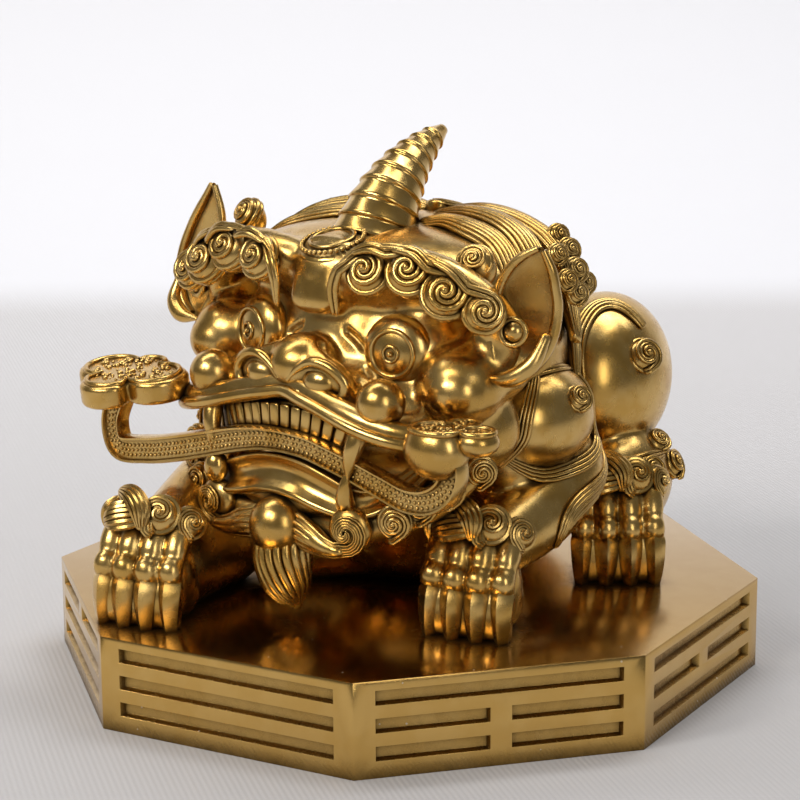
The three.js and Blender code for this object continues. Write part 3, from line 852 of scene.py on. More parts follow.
def model_paw(context):
    """A paw like a loose fist with curls over the wrist, its heel at the origin."""
    finger = [
        (-5.0, 22.0, 2.3, 2.2), (-1.0, 22.8, 2.75, 2.8), (3.0, 20.6, 3.0, 3.0), (5.6, 17.6, 3.0, 2.8),
        (6.8, 15.6, 2.65, 2.3), (8.3, 14.1, 2.95, 2.7), (8.6, 12.7, 2.95, 2.6), (8.0, 11.2, 2.65, 2.2),
        (8.2, 8.0, 2.4, 2.0), (8.2, 1.0, 1.8, 1.8),
    ]
    claw = [
        (7.4, 11.9, 2.3, 1.6), (8.7, 10.6, 2.95, 2.5), (9.6, 7.8, 2.85, 2.7), (9.9, 4.4, 2.45, 2.5),
        (9.8, 1.6, 1.95, 2.1), (9.5, -0.2, 1.5, 1.7),
    ]
    ridged = [
        (0, 1.15), (0.5, 0.75), (0.98, 0.15), (0.85, -0.7), (0, -1), (-0.85, -0.7), (-0.98, 0.15),
        (-0.5, 0.75),
    ]
    places = [(k - 1.5) * TOE_PITCH for k in range(4)]
    masses = [toe(out, finger) for out in places]
    masses.append(ball((0, 1.5, 9.5), (9.6, 8.5, 12.5)))  # wrist
    masses.append(ball((0, 4.0, 6.0), (9.0, 8.0, 9.0)))  # heel
    between_toes = [(-8.2, -7.0, 5.6), (8.2, -7.0, 5.6)]
    masses.append(bar(between_toes, [(5.8, 2.5)] * 2, face=(0, -1, 0), sides=20, steps=2))
    paw = cast(join("paw", masses), context.scene.beast_sizes.paw_skin / MM, 2)
    parts = [paw, *[toe(out, claw, ridged) for out in places]]
    rows = []
    for line, widths, face, strands in (
        (
            [(1.5, -4.4, 25.6), (-2.2, -6.2, 25.6), (-5.8, -6.8, 24.8), (-8.6, -5.6, 23.2)],
            [4, 7, 6.6, 2.6],
            (-0.3, -1, 0.5),
            6,
        ),
        (
            [(-6.5, -2.0, 30.0), (-2.6, -4.4, 29.6), (0.6, -6.4, 27.0), (1.2, -7.0, 23.2)],
            [2.6, 5.4, 6.0, 2.8],
            (0, -1, 0.6),
            6,
        ),
        (
            [(-9.5, 2, 27.0), (-11.6, 1.0, 24.6), (-12, 1.4, 21.4), (-10.8, 1.4, 18.4)],
            [2.4, 4.6, 4.8, 2.2],
            (-1, -0.5, 0.3),
            5,
        ),
    ):
        gather(rows, parts, tress(line, widths, face, strands, arch=0.26))
    for place, radius, look in (
        ((4.8, -4.6, 26.4), 4.7, (0.3, -0.9, 0.5)), ((11.0, -0.6, 23.8), 4.0, (0.8, -0.6, 0.35))
    ):
        hair = curl(place, radius, look, hand=-1, turns=1.3, strands=4, share=0.68, start=(-0.6, 0, -1))
        gather(rows, parts, hair)
    parts.append(tubes("wrist_strands", rows))
    return join("paw", parts)


class BRASS_OT_paws(bpy.types.Operator):
    """Model a paw with four clawed toes and set it under each leg"""

    bl_idname = "brass_beast.paws"
    bl_label = "Paws"

    def execute(self, context):
        paw = model_paw(context)
        fore = [(x, y, FORE_HEADING) for _, x, y in FORE_PAWS]
        places = []
        for x, y, heading in [*fore, *HIND_PAWS]:
            turn = Matrix.Rotation(math.radians(heading), 4, "Z")
            places.append(Matrix.Translation(Vector((x, y, FLOOR)) * MM) @ turn)
        paws = copies("paws", paw, places)
        cut_at_floor(paws)
        piece(paws, "beast_paws", "beast", finish("beast"), angle=42)
        return {"FINISHED"}


# Head

# Outline of a bar with a flat face and rounded edges, in shares of its half width and half thickness.
PANEL = [(-1, 0.2), (-0.94, 0.7), (-0.78, 1), (0.78, 1), (0.94, 0.7), (1, 0.2), (1, -1), (-1, -1)]


class BRASS_OT_head(bpy.types.Operator):
    """Model the skull, brow ridge, nose, cheeks and jaws as one smooth mass"""

    bl_idname = "brass_beast.head"
    bl_label = "Head"

    def execute(self, context):
        masses = [
            ball((0, -5, 9), (38.5, 34, 33)),  # skull
            ball((0, -17, 29.5), (39, 20, 11.6)),  # crown
            ball((0, -30.5, 31), (12.5, 10.4, 9.0)),  # middle of the forehead
            ball((0, -27, 3), (33, 21.5, 11.5)),  # upper jaw
            ball((0, -24, -15), (27, 22, 11)),  # lower jaw
            ball((0, -43.6, -18.8), (21, 9, 4.8)),  # chin
        ]
        for side in (1, -1):
            ridge = [
                (4, -33, 32), (12, -34.4, 33.6), (22, -33.8, 34.6), (32, -31.5, 32.6), (40, -28.5, 28.0),
                (43.5, -25, 22),
            ]
            masses.append(bar(flip(ridge, side), [4, 4.8, 5.0, 5.0, 4.6, 4.2], sides=20))
            masses.append(ball((side * 40, -22, 16), (8, 8, 11)))  # temple
            masses.append(ball((side * 20, -24.5, 14), (13.5, 12.2, 13)))  # bed of the eye
            masses.append(ball((side * 35.4, -29.8, 10.8 - side * 1.4), (10, 9.6, 9)))  # cheek
            masses.append(ball((side * 36.5, -23, -2), (7.5, 8.5, 9.5)))  # hinge of the jaw
        head = cast(join("head", masses), 1.2, 8)
        press(head, [((side * 19, -40, 24.5), (9, 8, 4.6), (0, 2.2, 0)) for side in (1, -1)])
        bridge = [(0, -33.4, 36.6), (0, -36.2, 33), (0, -38.0, 28.6), (0, -38.6, 25.0)]
        forms = [head, bar(bridge, [(6.6, 3.0)] * 4, face=(0, -1, 0.3), section=PANEL)]
        forms.append(ball((0, -43.0, 11.6), (8.2, 8.2, 7.0)))  # tip of the nose
        for side in (1, -1):
            wing = [
                (side * 3, -44.5, 13.6), (side * 8.5, -45.8, 11.6), (side * 13.2, -45.2, 9.2),
                (side * 14.4, -44.8, 6.0),
            ]
            forms.append(bar(wing, [3.8, 3.6, 3.2, 2.6], sides=16))
            forms.append(ball((side * 8.4, -44.5, 9.0), (7.6, 4.0, 4.6)))  # nostril
            forms.append(ball((side * 25.9, -46.4, 6.4), (5.6, 5.6, 5.6)))  # knob beside the nose
            forms.append(ball((side * 36.6, -32.6, 9.6 - side * 1.4), (8.0, 7.6, 7.0)))  # knob on the cheek
        head = cast(join("head", forms), context.scene.beast_sizes.head_skin / MM, 7)
        wrinkles = []
        for side in (1, -1):
            wrinkles += [
                flip([(5.0, -42.5, 19.5), (9, -43.5, 17.4), (13.5, -43, 13.4), (16.4, -42, 9)], side),
                flip([(5.6, -40, 21), (10, -41, 19.2), (14.8, -40.5, 14.6), (17.6, -40, 9.6)], side),
            ]
        crease(head, wrinkles, 0.7, 1.2)
        piece(to_head(head), "beast_head", "beast", finish("beast"))
        return {"FINISHED"}


class BRASS_OT_eyes(bpy.types.Operator):
    """Model the ringed eyes and the nostrils with their rolled rims"""

    bl_idname = "brass_beast.eyes"
    bl_label = "Eyes and nostrils"

    def execute(self, context):
        parts, rims = [], []
        for side in (1, -1):
            look = unit(np.array([side * 0.26, -1, 0.04]))
            heart = np.array([side * 21.7, -37.7, 15.6])
            parts.append(ball(heart - look * 3.6, (8.5, 8.5, 4.6), axis=look, detail=5))
            rims.append(ring(heart + look * 0.2, 5.2, look, 0.6))
            rims.append(ring(heart + look * 1.05, 1.8, look, 0.45, steps=20))
            parts.append(ball(heart + look * 1.2, (0.85, 0.85, 0.7)))
            nostril = [
                (side * 1.4, -50.2, 9.0), (side * 4.4, -49.8, 12.0), (side * 8.6, -49.4, 13.9),
                (side * 13.4, -48.4, 12.6), (side * 16.4, -47.4, 9.2), (side * 15.2, -48.0, 6.2),
                (side * 10.0, -49.6, 5.4), (side * 4.6, -50.4, 7.0),
            ]
            radii = (0.5, 0.9, 1.25, 1.4, 1.4, 1.15, 0.8, 0.5)
            rims.append(smooth([[*point, radius] for point, radius in zip(nostril, radii)], 6))
            parts.append(ball((side * 8.8, -46.8, 9.0), (4.8, 3.8, 3.8)))
        parts.append(tubes("rims", rims, roundness=2))
        piece(to_head(join("eyes", parts)), "beast_eyes", "beast", finish("polished"))
        return {"FINISHED"}


# Horn and forehead


class BRASS_OT_horn(bpy.types.Operator):
    """Model the banded horn and the beaded mirror on the forehead"""

    bl_idname = "brass_beast.horn"
    bl_label = "Horn and mirror"

    def execute(self, context):
        bands = context.scene.beast_sizes.horn_bands
        axis = smooth(
            [(0, -19.5, 35.5), (0, -14.6, 44.8), (0, -8.2, 51.8), (0, -0.9, 56.8), (0, 5.2, 59.8)], 40
        )
        lengths = run_lengths(axis)
        total = lengths[-1]
        line, radii = [], []
        # Each band stands out at its foot and falls back towards the next.
        for k in range(bands):
            low, high = k / bands, (k + 1) / bands
            for share, stand in (
                (0.0, 0.15), (0.06, 0.62), (0.2, 0.42), (0.5, 0.1), (0.85, -0.05), (0.98, -0.1)
            ):
                at = (low + (high - low) * share) ** 0.93
                radius = 10.3 * (1 - at) ** 0.92 + 1.7 * at
                line.append([np.interp(at * total, lengths, axis[:, i]) for i in range(3)])
                radii.append(radius + stand * (1 - 0.4 * at))
        parts = [bar(line, radii, face=(0, -1, 0), sides=48, steps=0)]
        up = unit(np.array([0, -0.3, 1.0]))
        heart = np.array([0, -33.2, 38.8])
        parts.append(ball(heart - up * 2.5, (8.6, 8.0, 2.4), axis=up))
        parts.append(ball(heart - up * 0.3, (5.2, 5.2, 0.9), axis=up))
        bead_line = ring(heart - up * 0.1, 7.3, up, 0.5, steps=34)[:-1, :3]
        bead = ball((0, 0, 0), (0.62, 0.62, 0.62), detail=2)
        places = [Matrix.Translation(Vector(point - up * 0.2) * MM) for point in bead_line]
        parts.append(copies("beads", bead, places))
        parts.append(tubes("rim", [ring(heart + up * 0.1, 5.2, up, 0.5)], roundness=2))
        piece(to_head(join("horn", parts)), "beast_horn", "beast", finish("polished"))
        return {"FINISHED"}


# Brow


class BRASS_OT_brow(bpy.types.Operator):
    """Model the brow of snail curls with the long strands over them"""

    bl_idname = "brass_beast.brow"
    bl_label = "Brow"

    def execute(self, context):
        face = away_from(*BROW_HEART)
        rows, parts = [], []
        whorls = [
            ((16.9, -41.0, 34.3), 5.5, (0.22, -0.88, 0.42)),
            ((27.9, -39.4, 35.4), 5.8, (0.35, -0.8, 0.45)),
            ((37.4, -38.0, 31.2), 6.0, (0.5, -0.75, 0.4)),
            ((45.6, -34.8, 27.4), 5.0, (0.65, -0.7, 0.3)),
        ]
        for side in (1, -1):
            feeds = [
                [(9.0, -42.2, 23.5), (8.9, -42.8, 29.6), (10.6, -42.6, 34.6)],
                [(13.5, -41.6, 38.0), (18.4, -41.0, 39.4), (23.4, -40.6, 38.4)],
                [(24, -40.2, 39.8), (30, -39.6, 39.2), (34.0, -39.2, 36.0)],
                [(34, -38.4, 38.0), (38.5, -37.2, 35.8), (42.6, -35.8, 31.4)],
            ]
            for (centre, radius, normal), feed, width in zip(whorls, feeds, (2.8, 2.9, 2.9, 2.5)):
                normal = unit(np.array([normal[0] if side > 0 else -0.05, *normal[1:]]))
                heart = np.array(mirror_point(centre, side))
                whorl = (heart, radius, 2.2, -side, normal)
                rows += lock(flip(feed, side), [1.8, width, width], face, 2, 0.08, whorl)
                gather(rows, parts, whorl_heart(heart, radius, normal))
            over = [
                (10.8, -41.8, 35.6), (13.4, -41.4, 38.0), (18.2, -40.8, 39.4), (25.7, -40.0, 40.2),
                (32.4, -38.4, 38.6), (37.8, -37.0, 36.6), (42, -35.2, 33.2), (46.5, -32.2, 31),
            ]
            widths = [0.9, 1.4, 1.5, 1.5, 1.5, 1.5, 1.4, 0.9]
            gather(rows, parts, tress(flip(over, side), widths, face, 2, arch=0.1))
            crown = np.array([side * 35.2, -25.0, 37.6 - side * 2.2])
            knob = curl(crown + np.array([0, -0.8, 1.2]), 4.3, (side * 0.3, -0.85, 0.6), hand=-side)
            gather(rows, parts, knob)
            parts.append(ball(crown - np.array([0, -1.5, 1.2]), (3.8, 3.8, 4.6)))
        parts.append(tubes("brow_strands", rows))
        piece(to_head(join("brow", parts)), "beast_brow", "beast", finish("beast"))
        return {"FINISHED"}


# Ears


class BRASS_OT_ears(bpy.types.Operator):
    """Model the leaf-shaped ears with a rolled rim and a boss"""

    bl_idname = "brass_beast.ears"
    bl_label = "Ears"

    def execute(self, context):
        outline = []
        for angle in np.linspace(0, 2 * math.pi, 28, endpoint=False):
            across, thick = math.sin(angle), math.cos(angle)
            outline.append((across, thick * (0.9 if thick < 0 else -0.38) if abs(across) < 0.98 else 0.0))
        parts = []
        left = [
            (45.5, -27.5, 12.5), (46.8, -26.5, 16), (48, -25, 21), (48.6, -24, 27), (49.6, -24, 32),
            (51.3, -24, 37), (52.6, -24, 40.4),
        ]
        right = [
            (-51.5, -26, 14.5), (-52, -25.5, 17.5), (-52, -25, 22), (-51.2, -24.4, 27.5),
            (-49.8, -24, 33), (-47.8, -24, 40), (-46.9, -24, 46.2),
        ]
        radii = [(2.4, 1.6), (5.0, 3.2), (6.8, 4.0), (7.1, 4.2), (6.2, 3.6), (3.8, 2.2), (0.6, 0.5)]
        for side, rise, face in ((1, left, (0.42, -1, 0.12)), (-1, right, (-0.05, -1, 0.1))):
            parts.append(bar(rise, radii, face=face, section=outline, steps=6))
            rows = smooth([[*point, *half] for point, half in zip(rise, radii)], 6)
            _, across, normal = frames(rows[:, :3], face)
            rims = []
            for edge in (1, -1):
                line = rows[:, :3] + across * (edge * rows[:, 3:4]) + normal * 0.2
                thickness = np.interp(np.arange(len(line)), (0, 6, 30, len(line)), (1.2, 1.35, 1.1, 0.7))
                rims.append(np.c_[line, thickness])
            lobe = [
                rise[2] + np.array([side * 6.6, 0, 0]),
                rise[1] + np.array([side * 6.4, -1.6, -0.4]),
                rise[0] + np.array([side * 3.4, -2.6, -0.2]),
                rise[0] + np.array([side * -3.0, -3.4, -0.6]),
            ]
            parts.append(bar(lobe, [(1.2, 1.3), (1.9, 1.9), (2.0, 1.9), (0.5, 0.6)], face=face))
            boss = np.array([side * 48.6, -28.6, 22.4])
            loop = ring(boss, 2.9, (side * 0.3, -1, 0.15), 0.7, steps=26)
            parts += [
                ball(boss - np.array([0, -0.8, 0]), (2.5, 2.5, 2.5)),
                tubes("rims", [*rims, loop], roundness=2),
            ]
        piece(to_head(join("ears", parts)), "beast_ears", "beast", finish("beast"))
        return {"FINISHED"}


# Mane


class BRASS_OT_mane(bpy.types.Operator):
    """Model the combed locks behind the horn"""

    bl_idname = "brass_beast.mane"
    bl_label = "Mane"

    def execute(self, context):
        rows, parts = [], []
        face = away_from(0, 2, 8)
        for side in (1, -1):
            for line, widths, strands in (
                (
                    [
                        (7, -10.6, 40.4), (13, -9.2, 41.2), (21, -10, 40.2), (29, -11.5, 38),
                        (34.5, -14, 35), (39, -17, 30), (41.5, -19, 23),
                    ],
                    [3.6, 5.6, 7.4, 7.8, 7.4, 6, 3.6],
                    7,
                ),
                (
                    [
                        (5, -2, 41.5), (13, -1.5, 42.5), (23, -2.5, 41.6), (32, -5, 38.6), (39, -8, 33),
                        (42.6, -8, 27.5), (43, -6.5, 24),
                    ],
                    [4, 6, 7.4, 7.6, 7.6, 6, 3.4],
                    7,
                ),
                (
                    [(3, 5, 41), (14, 6, 41.8), (27, 5, 39.6), (36, 3, 35.6), (42, 1, 30)],
                    [6, 8, 8, 7.4, 4],
                    7,
                ),
                ([(3, 12, 38), (15, 14, 37.4), (28, 12, 32.5), (38, 7, 25)], [7, 8.6, 8.4, 4], 7),
                ([(4, 19, 33), (17, 20, 29.5), (29, 16, 23), (38, 9, 14)], [7, 8.6, 8.4, 4], 7),
                ([(5, 24, 24), (18, 23, 19), (30, 17, 12), (37, 10, 4)], [7, 8.6, 8.4, 4], 7),
            ):
                gather(rows, parts, tress(flip(line, side), widths, face, strands, arch=0.18))
            for place, radius in (
                ((35.8, 5, 38.6), 2.8), ((39.2, 4.6, 35.6), 3.0), ((40.4, -1.2, 35.4), 2.6),
                ((42.2, 3.4, 31.4), 3.1), ((43.6, -1.8, 29.8), 2.7), ((43.6, 2.0, 26.4), 2.9),
                ((42.0, 7.0, 28.0), 2.9),
            ):
                snail = curl(mirror_point(place, side), radius, (side, -0.25, 0.35), hand=side)
                gather(rows, parts, snail)
        nape = [(0, 3, 42.6), (0, 14, 38.6), (0, 22, 30), (0, 27, 17)]
        gather(rows, parts, tress(nape, [6, 8, 8, 6], face, 7, arch=0.22))
        parts.append(tubes("mane_strands", rows))
        piece(to_head(join("mane", parts)), "beast_mane", "beast", finish("beast"))
        return {"FINISHED"}


# Mouth

# Outline of a wide lip: a rolled edge above and below, and a hollow between them.
LIP = [
    (-1, -1), (-1.12, 0.1), (-1.06, 0.85), (-0.86, 1.15), (-0.66, 0.95), (-0.42, 0.45), (0, 0.15),
    (0.4, 0.2), (0.66, 0.5), (0.82, 0.85), (0.95, 0.85), (1.02, 0.4), (1, -1),
]


class BRASS_OT_mouth(bpy.types.Operator):
    """Model the lips, the teeth and the fangs"""

    bl_idname = "brass_beast.mouth"
    bl_label = "Mouth"

    def execute(self, context):
        front = away_from(0, -24, -4)
        upper = [
            (0, -50.0, 6.2), (6, -50.9, 5.2), (12, -51.4, 3.8), (18, -51.8, 2.2), (24, -51.5, 0.6),
            (30, -50.0, -0.8), (35, -47.0, -1.8), (38, -42, -2.4), (38.5, -36, -2.4),
        ]
        halves = [(1.3, 1.4)] + [(1.55, 1.6)] * 15 + [(1.3, 1.4)]
        parts = [bar(both_ways(upper), halves, face=front, sides=20)]
        above = [[x, y + 2.4, z + 1.5] for x, y, z in upper[:-1]]
        parts.append(bar(both_ways(above), [(2.7, 2.3)] * 15, face=front, sides=16))
        lower = [
            (0, -50.8, -12.6), (6, -50.9, -13.1), (12, -50.5, -14.7), (18, -49.2, -16.4),
            (23, -46, -16.8), (26.5, -41, -14.5), (28.5, -35, -11),
        ]
        halves = [(4.4, 2.4), (4.4, 2.4), (4.3, 2.4), (3.7, 2.3), (3.0, 2.2), (2.8, 2.0), (2.4, 2.0)]
        halves = [*reversed(halves[1:]), *halves]
        parts.append(bar(both_ways(lower), halves, face=(0, -1, 0.17), section=LIP))
        count = context.scene.beast_sizes.teeth
        row = smooth(
            [
                (-27, -44.0, -4.4), (-20, -47.4, -2.6), (-12, -49.2, -0.6), (-4, -50.0, 0.5),
                (4, -50.0, 0.5), (12, -49.2, -0.6), (17, -48.0, -2.0),
            ],
            20,
        )
        steps = run_lengths(row)
        pitch = steps[-1] / count
        deselect()
        bpy.ops.mesh.primitive_cube_add(size=1)
        tooth = settle(bpy.context.object, Vector((pitch - 0.45, 1.9, 5.4)) * MM)
        apply(tooth, "BEVEL", width=0.55 * MM, segments=3)
        places = []
        for k in range(count):
            i = int(np.searchsorted(steps, (k + 0.5) * pitch))
            run = row[min(i + 3, len(row) - 1)] - row[i - 3]
            turn = Matrix.Rotation(math.atan2(run[1], run[0]), 4, "Z")
            tilt = Matrix.Rotation(-math.atan2(run[2], abs(run[0])), 4, "Y")
            places.append(Matrix.Translation(Vector(row[i]) * MM) @ (turn @ tilt))
        parts.append(copies("teeth", tooth, places))
        gum = [[x, y + 1.0, z] for x, y, z in row[::12]]
        parts.append(bar(gum, [(3.2, 0.8)] * len(gum), face=front, sides=12, steps=2))
        edge = [[x, y - 0.2, z - 3.1] for x, y, z in row[::12]]
        parts.append(bar(edge, [(0.5, 0.8)] * len(edge), face=front, sides=8, steps=2))
        for side in (1, -1):
            fang = [(22.6, -49.4, 1.0), (22.0, -51.0, -3), (21.2, -51.6, -7), (20.8, -51.8, -10.4)]
            parts.append(bar(flip(fang, side), [2.3, 2.2, 1.6, 0.5], sides=16))
            fang = [(18.6, -49.5, -19), (19.2, -51.2, -15.5), (20.0, -51.8, -11.8), (20.6, -51.8, -8.8)]
            if side > 0:
                parts.append(bar(fang, [2.2, 2.1, 1.4, 0.5], sides=16))
            else:
                parts.append(ball((-20.4, -51.6, -14.2), (2.9, 2.7, 3.9)))
        piece(to_head(join("mouth", parts)), "beast_mouth", "beast", finish("polished"))
        return {"FINISHED"}


# Beard


class BRASS_OT_beard(bpy.types.Operator):
    """Model the beard: a ball, a grooved tuft and curls along the jaw"""

    bl_idname = "brass_beast.beard"
    bl_label = "Beard"

    def execute(self, context):
        rows = []
        parts = [ball((0, -52.6, -24.4), (6.9, 6.4, 7.1))]
        tuft = [
            (0.2, -50, -26.5), (0.4, -51.6, -30.5), (1.0, -51.8, -35.0), (2.2, -51.2, -39.4),
            (3.6, -50.6, -42.8),
        ]
        halves = [(5.2, 4.4), (5.8, 5.2), (5.6, 4.9), (4.4, 3.8), (1.5, 1.4)]
        parts.append(bar(tuft, halves, face=(0, -1, 0.1), sides=20, steps=8))
        halves = [(5.4, 4.6), (6.0, 5.4), (5.8, 5.0), (4.5, 3.9), (1.5, 1.4)]
        inner = smooth([[*point, *half] for point, half in zip(tuft, halves)], 6)
        _, across, normal = frames(inner[:, :3], (0, -1, 0.1))
        for k in range(18):
            angle = 2 * math.pi * k / 18 + np.linspace(0, 0.5, len(inner))
            aside = across * (np.sin(angle) * inner[:, 3])[:, None]
            forward = normal * (np.cos(angle) * inner[:, 4])[:, None]
            line = inner[:, :3] + aside + forward
            rows.append(np.c_[line, 0.17 * inner[:, 3] + 0.12])
        for side in (1, -1):
            comma = [(4.6, -51.4, -24.2), (9.5, -52.6, -25.2), (14.5, -53.0, -26.6), (18.5, -53.0, -27.0)]
            spread = 1.0 if side > 0 else -0.3
            centre, normal = (side * 20.8, -52.4, -22.4), unit(np.array([spread * 0.3, -1, -0.05]))
            face, whorl = (side * 0.1, -1, -0.1), (centre, 5.7, 1.9, side, normal)
            rows += lock(flip(comma, side), [8.6, 7.6, 5.2, 3.6], face, 6, 0.26, whorl)
            halves = [(3.9, 2.4), (3.5, 2.4), (2.4, 2.2), (1.6, 2)]
            parts.append(bar(flip(comma, side), halves, face=(0, -1, 0)))
            parts.append(ball(np.array(centre) - normal * 2.0, (5.2, 5.2, 2.9), axis=normal))
            for place, radius, look in (
                ((30.4, -47.6, -19.8), 4.1, (spread * 0.5, -1, -0.05)),
                ((35.4, -44.0, -16.2), 3.7, (spread * 0.6, -0.9, -0.05)),
                ((39.8, -39.5, -12.8), 3.6, (spread * 0.7, -0.8, 0)),
                ((43.6, -33.0, -9.0), 3.5, (side * 0.8, -0.8, 0)),
            ):
                gather(rows, parts, curl(mirror_point(place, side), radius, look, hand=side))
            jaw = [(5, -46, -24), (14, -47, -24), (26, -42, -20.5), (34, -34, -15.5), (38, -27, -10)]
            parts.append(bar(flip(jaw, side), [3, 4, 4.2, 3.8, 2.4], sides=16))
        parts.append(tubes("beard_strands", rows))
        piece(to_head(join("beard", parts)), "beast_beard", "beast", finish("beast"))
        return {"FINISHED"}


# Sceptre

STAFF_LINE = [
    (-51.5, -51, 0), (-55, -51, -8.5), (-52.5, -51.5, -14.0), (-43, -51.6, -13.6), (-33, -51.5, -11.6),
    (-22, -51.3, -8.8), (-12, -51.4, -6.2), (-3.5, -51.4, -4.8), (8, -51.2, -5.0), (15, -50.4, -6.8),
    (22, -49.8, -8.8), (29, -49.0, -11.2), (36, -48.6, -13.2), (42, -48.4, -12.6), (46.4, -48.2, -9.6),
    (48, -48, -5.5), (47, -48, -1),
]
STAFF_HALVES = [2.9, 3.0, 3.2, 3.3, 3.3, 3.2, 3.0, 2.7, 2.6, 2.6, 2.6, 2.7, 2.8, 2.9, 2.9, 2.8, 2.6]


def trefoil(lobe):
    """Outline points of a cloud head: three rounded lobes, from above, each about lobe in radius."""
    points = []
    for middle, radius, start, end in (
        ((-1.05, 0.05), 1.0, 60, 290),
        ((0.0, -0.95), 0.95, 205, 335),
        ((1.05, 0.05), 1.0, 250, 480),
        ((0.0, 0.75), 0.7, 40, 140),
    ):
        for angle in np.radians(np.linspace(start, end, 14)):
            x, y = middle[0] + radius * math.cos(angle), middle[1] + radius * math.sin(angle)
            points.append((lobe * x, lobe * y))
    return points


def cloud_head(centre, lobe, thickness, lean):
    """Flat trefoil with a rounded rim and a sunken, grained middle."""
    outline = trefoil(lobe)
    deselect()
    bpy.ops.mesh.primitive_circle_add(vertices=len(outline), radius=MM, fill_type="NGON")
    plate = bpy.context.object
    move_corners(plate, np.array([[x, y, -thickness / 2] for x, y in outline]))
    bpy.ops.object.mode_set(mode="EDIT")
    bpy.ops.mesh.select_all(action="SELECT")
    bpy.ops.mesh.extrude_region_move(TRANSFORM_OT_translate={"value": (0, 0, thickness * MM)})
    bpy.ops.mesh.select_all(action="SELECT")
    bpy.ops.mesh.normals_make_consistent(inside=False)
    bpy.ops.object.mode_set(mode="OBJECT")
    apply(plate, "BEVEL", width=1.3 * MM, segments=4, limit_method="ANGLE", angle_limit=math.radians(60))
    rim = np.array([[x * 0.86, y * 0.86, thickness / 2 + 0.1, 0.7] for x, y in [*outline, outline[0]]])
    random.seed(5)
    bead = ball((0, 0, 0), (0.6, 0.6, 0.6), detail=2)
    places = []
    for _ in range(110):
        angle, reach = random.uniform(0, 2 * math.pi), math.sqrt(random.random()) * lobe * 1.35
        spot = (math.cos(angle) * reach * 1.15, math.sin(angle) * reach * 0.75, thickness / 2)
        size = Matrix.Scale(random.uniform(0.5, 1.5), 4)
        places.append(Matrix.Translation(Vector(spot) * MM) @ size)
    grains = copies("grains", bead, places)
    head = join("cloud", [plate, tubes("rim", [rim], roundness=2), grains])
    turn = Matrix.Rotation(math.radians(lean), 4, "X")
    head.data.transform(Matrix.Translation(Vector(centre) * MM) @ turn)
    return head


CUP_RISE = 0.636  # how far above a lobe's middle its face is cut, as a share of its depth


def cup_head(*lobes):
    """Deep lobed cup with a rolled rim and a grained face. Each lobe is its place, half width, half depth
    and how deep it goes."""
    top, forms, rims = 3.6, [], []
    for (x, y), wide, deep, low in lobes:
        lobe = ball((x, y, top - CUP_RISE * low), (wide, deep, low))
        points = corners(lobe)
        points[:, 2] = np.minimum(points[:, 2], top)
        move_corners(lobe, points)
        forms.append(lobe)
    share = math.sqrt(1 - CUP_RISE**2)

    def inside(x, y, others):
        """Whether a point of the face lies within one of those lobes."""
        return any(
            math.hypot((x - middle_x) / (wide * share), (y - middle_y) / (deep * share)) < 1
            for (middle_x, middle_y), wide, deep, _ in others
        )

    for lobe in lobes:
        (x, y), wide, deep, _ = lobe
        others = [other for other in lobes if other is not lobe]
        run = []
        for angle in np.linspace(0, 2 * math.pi, 49):
            point = (x + math.cos(angle) * wide * share, y + math.sin(angle) * deep * share)
            if inside(*point, others):
                if len(run) > 2:
                    rims.append(np.array(run))
                run = []
            else:
                run.append([*point, top, 0.75])
        if len(run) > 2:
            rims.append(np.array(run))
    random.seed(8)
    bead = ball((0, 0, 0), (0.55, 0.55, 0.55), detail=2)
    places = []
    while len(places) < 70:
        x, y = random.uniform(36, 57), random.uniform(-55, -36)
        if inside(x * 0.96 + 1.8, y * 0.96 - 1.8, lobes):
            size = Matrix.Scale(random.uniform(0.6, 1.3), 4)
            places.append(Matrix.Translation(Vector((x, y, top)) * MM) @ size)
    return join("cup", [*forms, tubes("rim", rims, roundness=2), copies("grains", bead, places)])


class BRASS_OT_sceptre(bpy.types.Operator):
    """Model the ruyi sceptre held across the jaws"""

    bl_idname = "brass_beast.sceptre"
    bl_label = "Sceptre"

    def execute(self, context):
        face = (0, -1, 0)
        section = [
            (-1, 0.55), (-0.9, 0.98), (-0.74, 0.95), (-0.66, 0.55), (0.66, 0.55), (0.74, 0.95),
            (0.9, 0.98), (1, 0.55), (1, -0.7), (0.8, -1), (-0.8, -1), (-1, -0.7),
        ]
        halves = [(half, 2.2) for half in STAFF_HALVES]
        parts = [bar(STAFF_LINE, halves, face=face, section=section, steps=8)]
        path = smooth(STAFF_LINE, 30)
        lengths = run_lengths(path)
        _, across, normal = frames(path, face)
        radius = context.scene.beast_sizes.staff_bead / MM
        bead = ball((0, 0, 0), (radius,) * 3, detail=2)
        places = []
        pitch = 1.35
        for k in range(int(lengths[-1] / pitch)):
            for row in (-1, 0, 1):
                at = min((k + 0.5 + (row % 2) * 0.5) * pitch, lengths[-1])
                i = int(np.searchsorted(lengths, at).clip(0, len(path) - 1))
                spot = path[i] + across[i] * row * 1.15 + normal[i] * 1.25
                places.append(Matrix.Translation(Vector(spot) * MM))
        parts.append(copies("beads", bead, places))
        parts.append(cloud_head((-49.4, -50, 1.8), 7.6, 5.6, 8))
        lobes = [
            ((43.4, -48.4), 7.8, 6.3, 6.9), ((51.8, -45.0), 5.0, 4.8, 3.4), ((45.0, -41.2), 4.8, 4.2, 4.8)
        ]
        parts.append(cup_head(*lobes))
        piece(to_head(join("sceptre", parts)), "beast_sceptre", "beast", finish("beast"), angle=50)
        return {"FINISHED"}


# Locks on the body


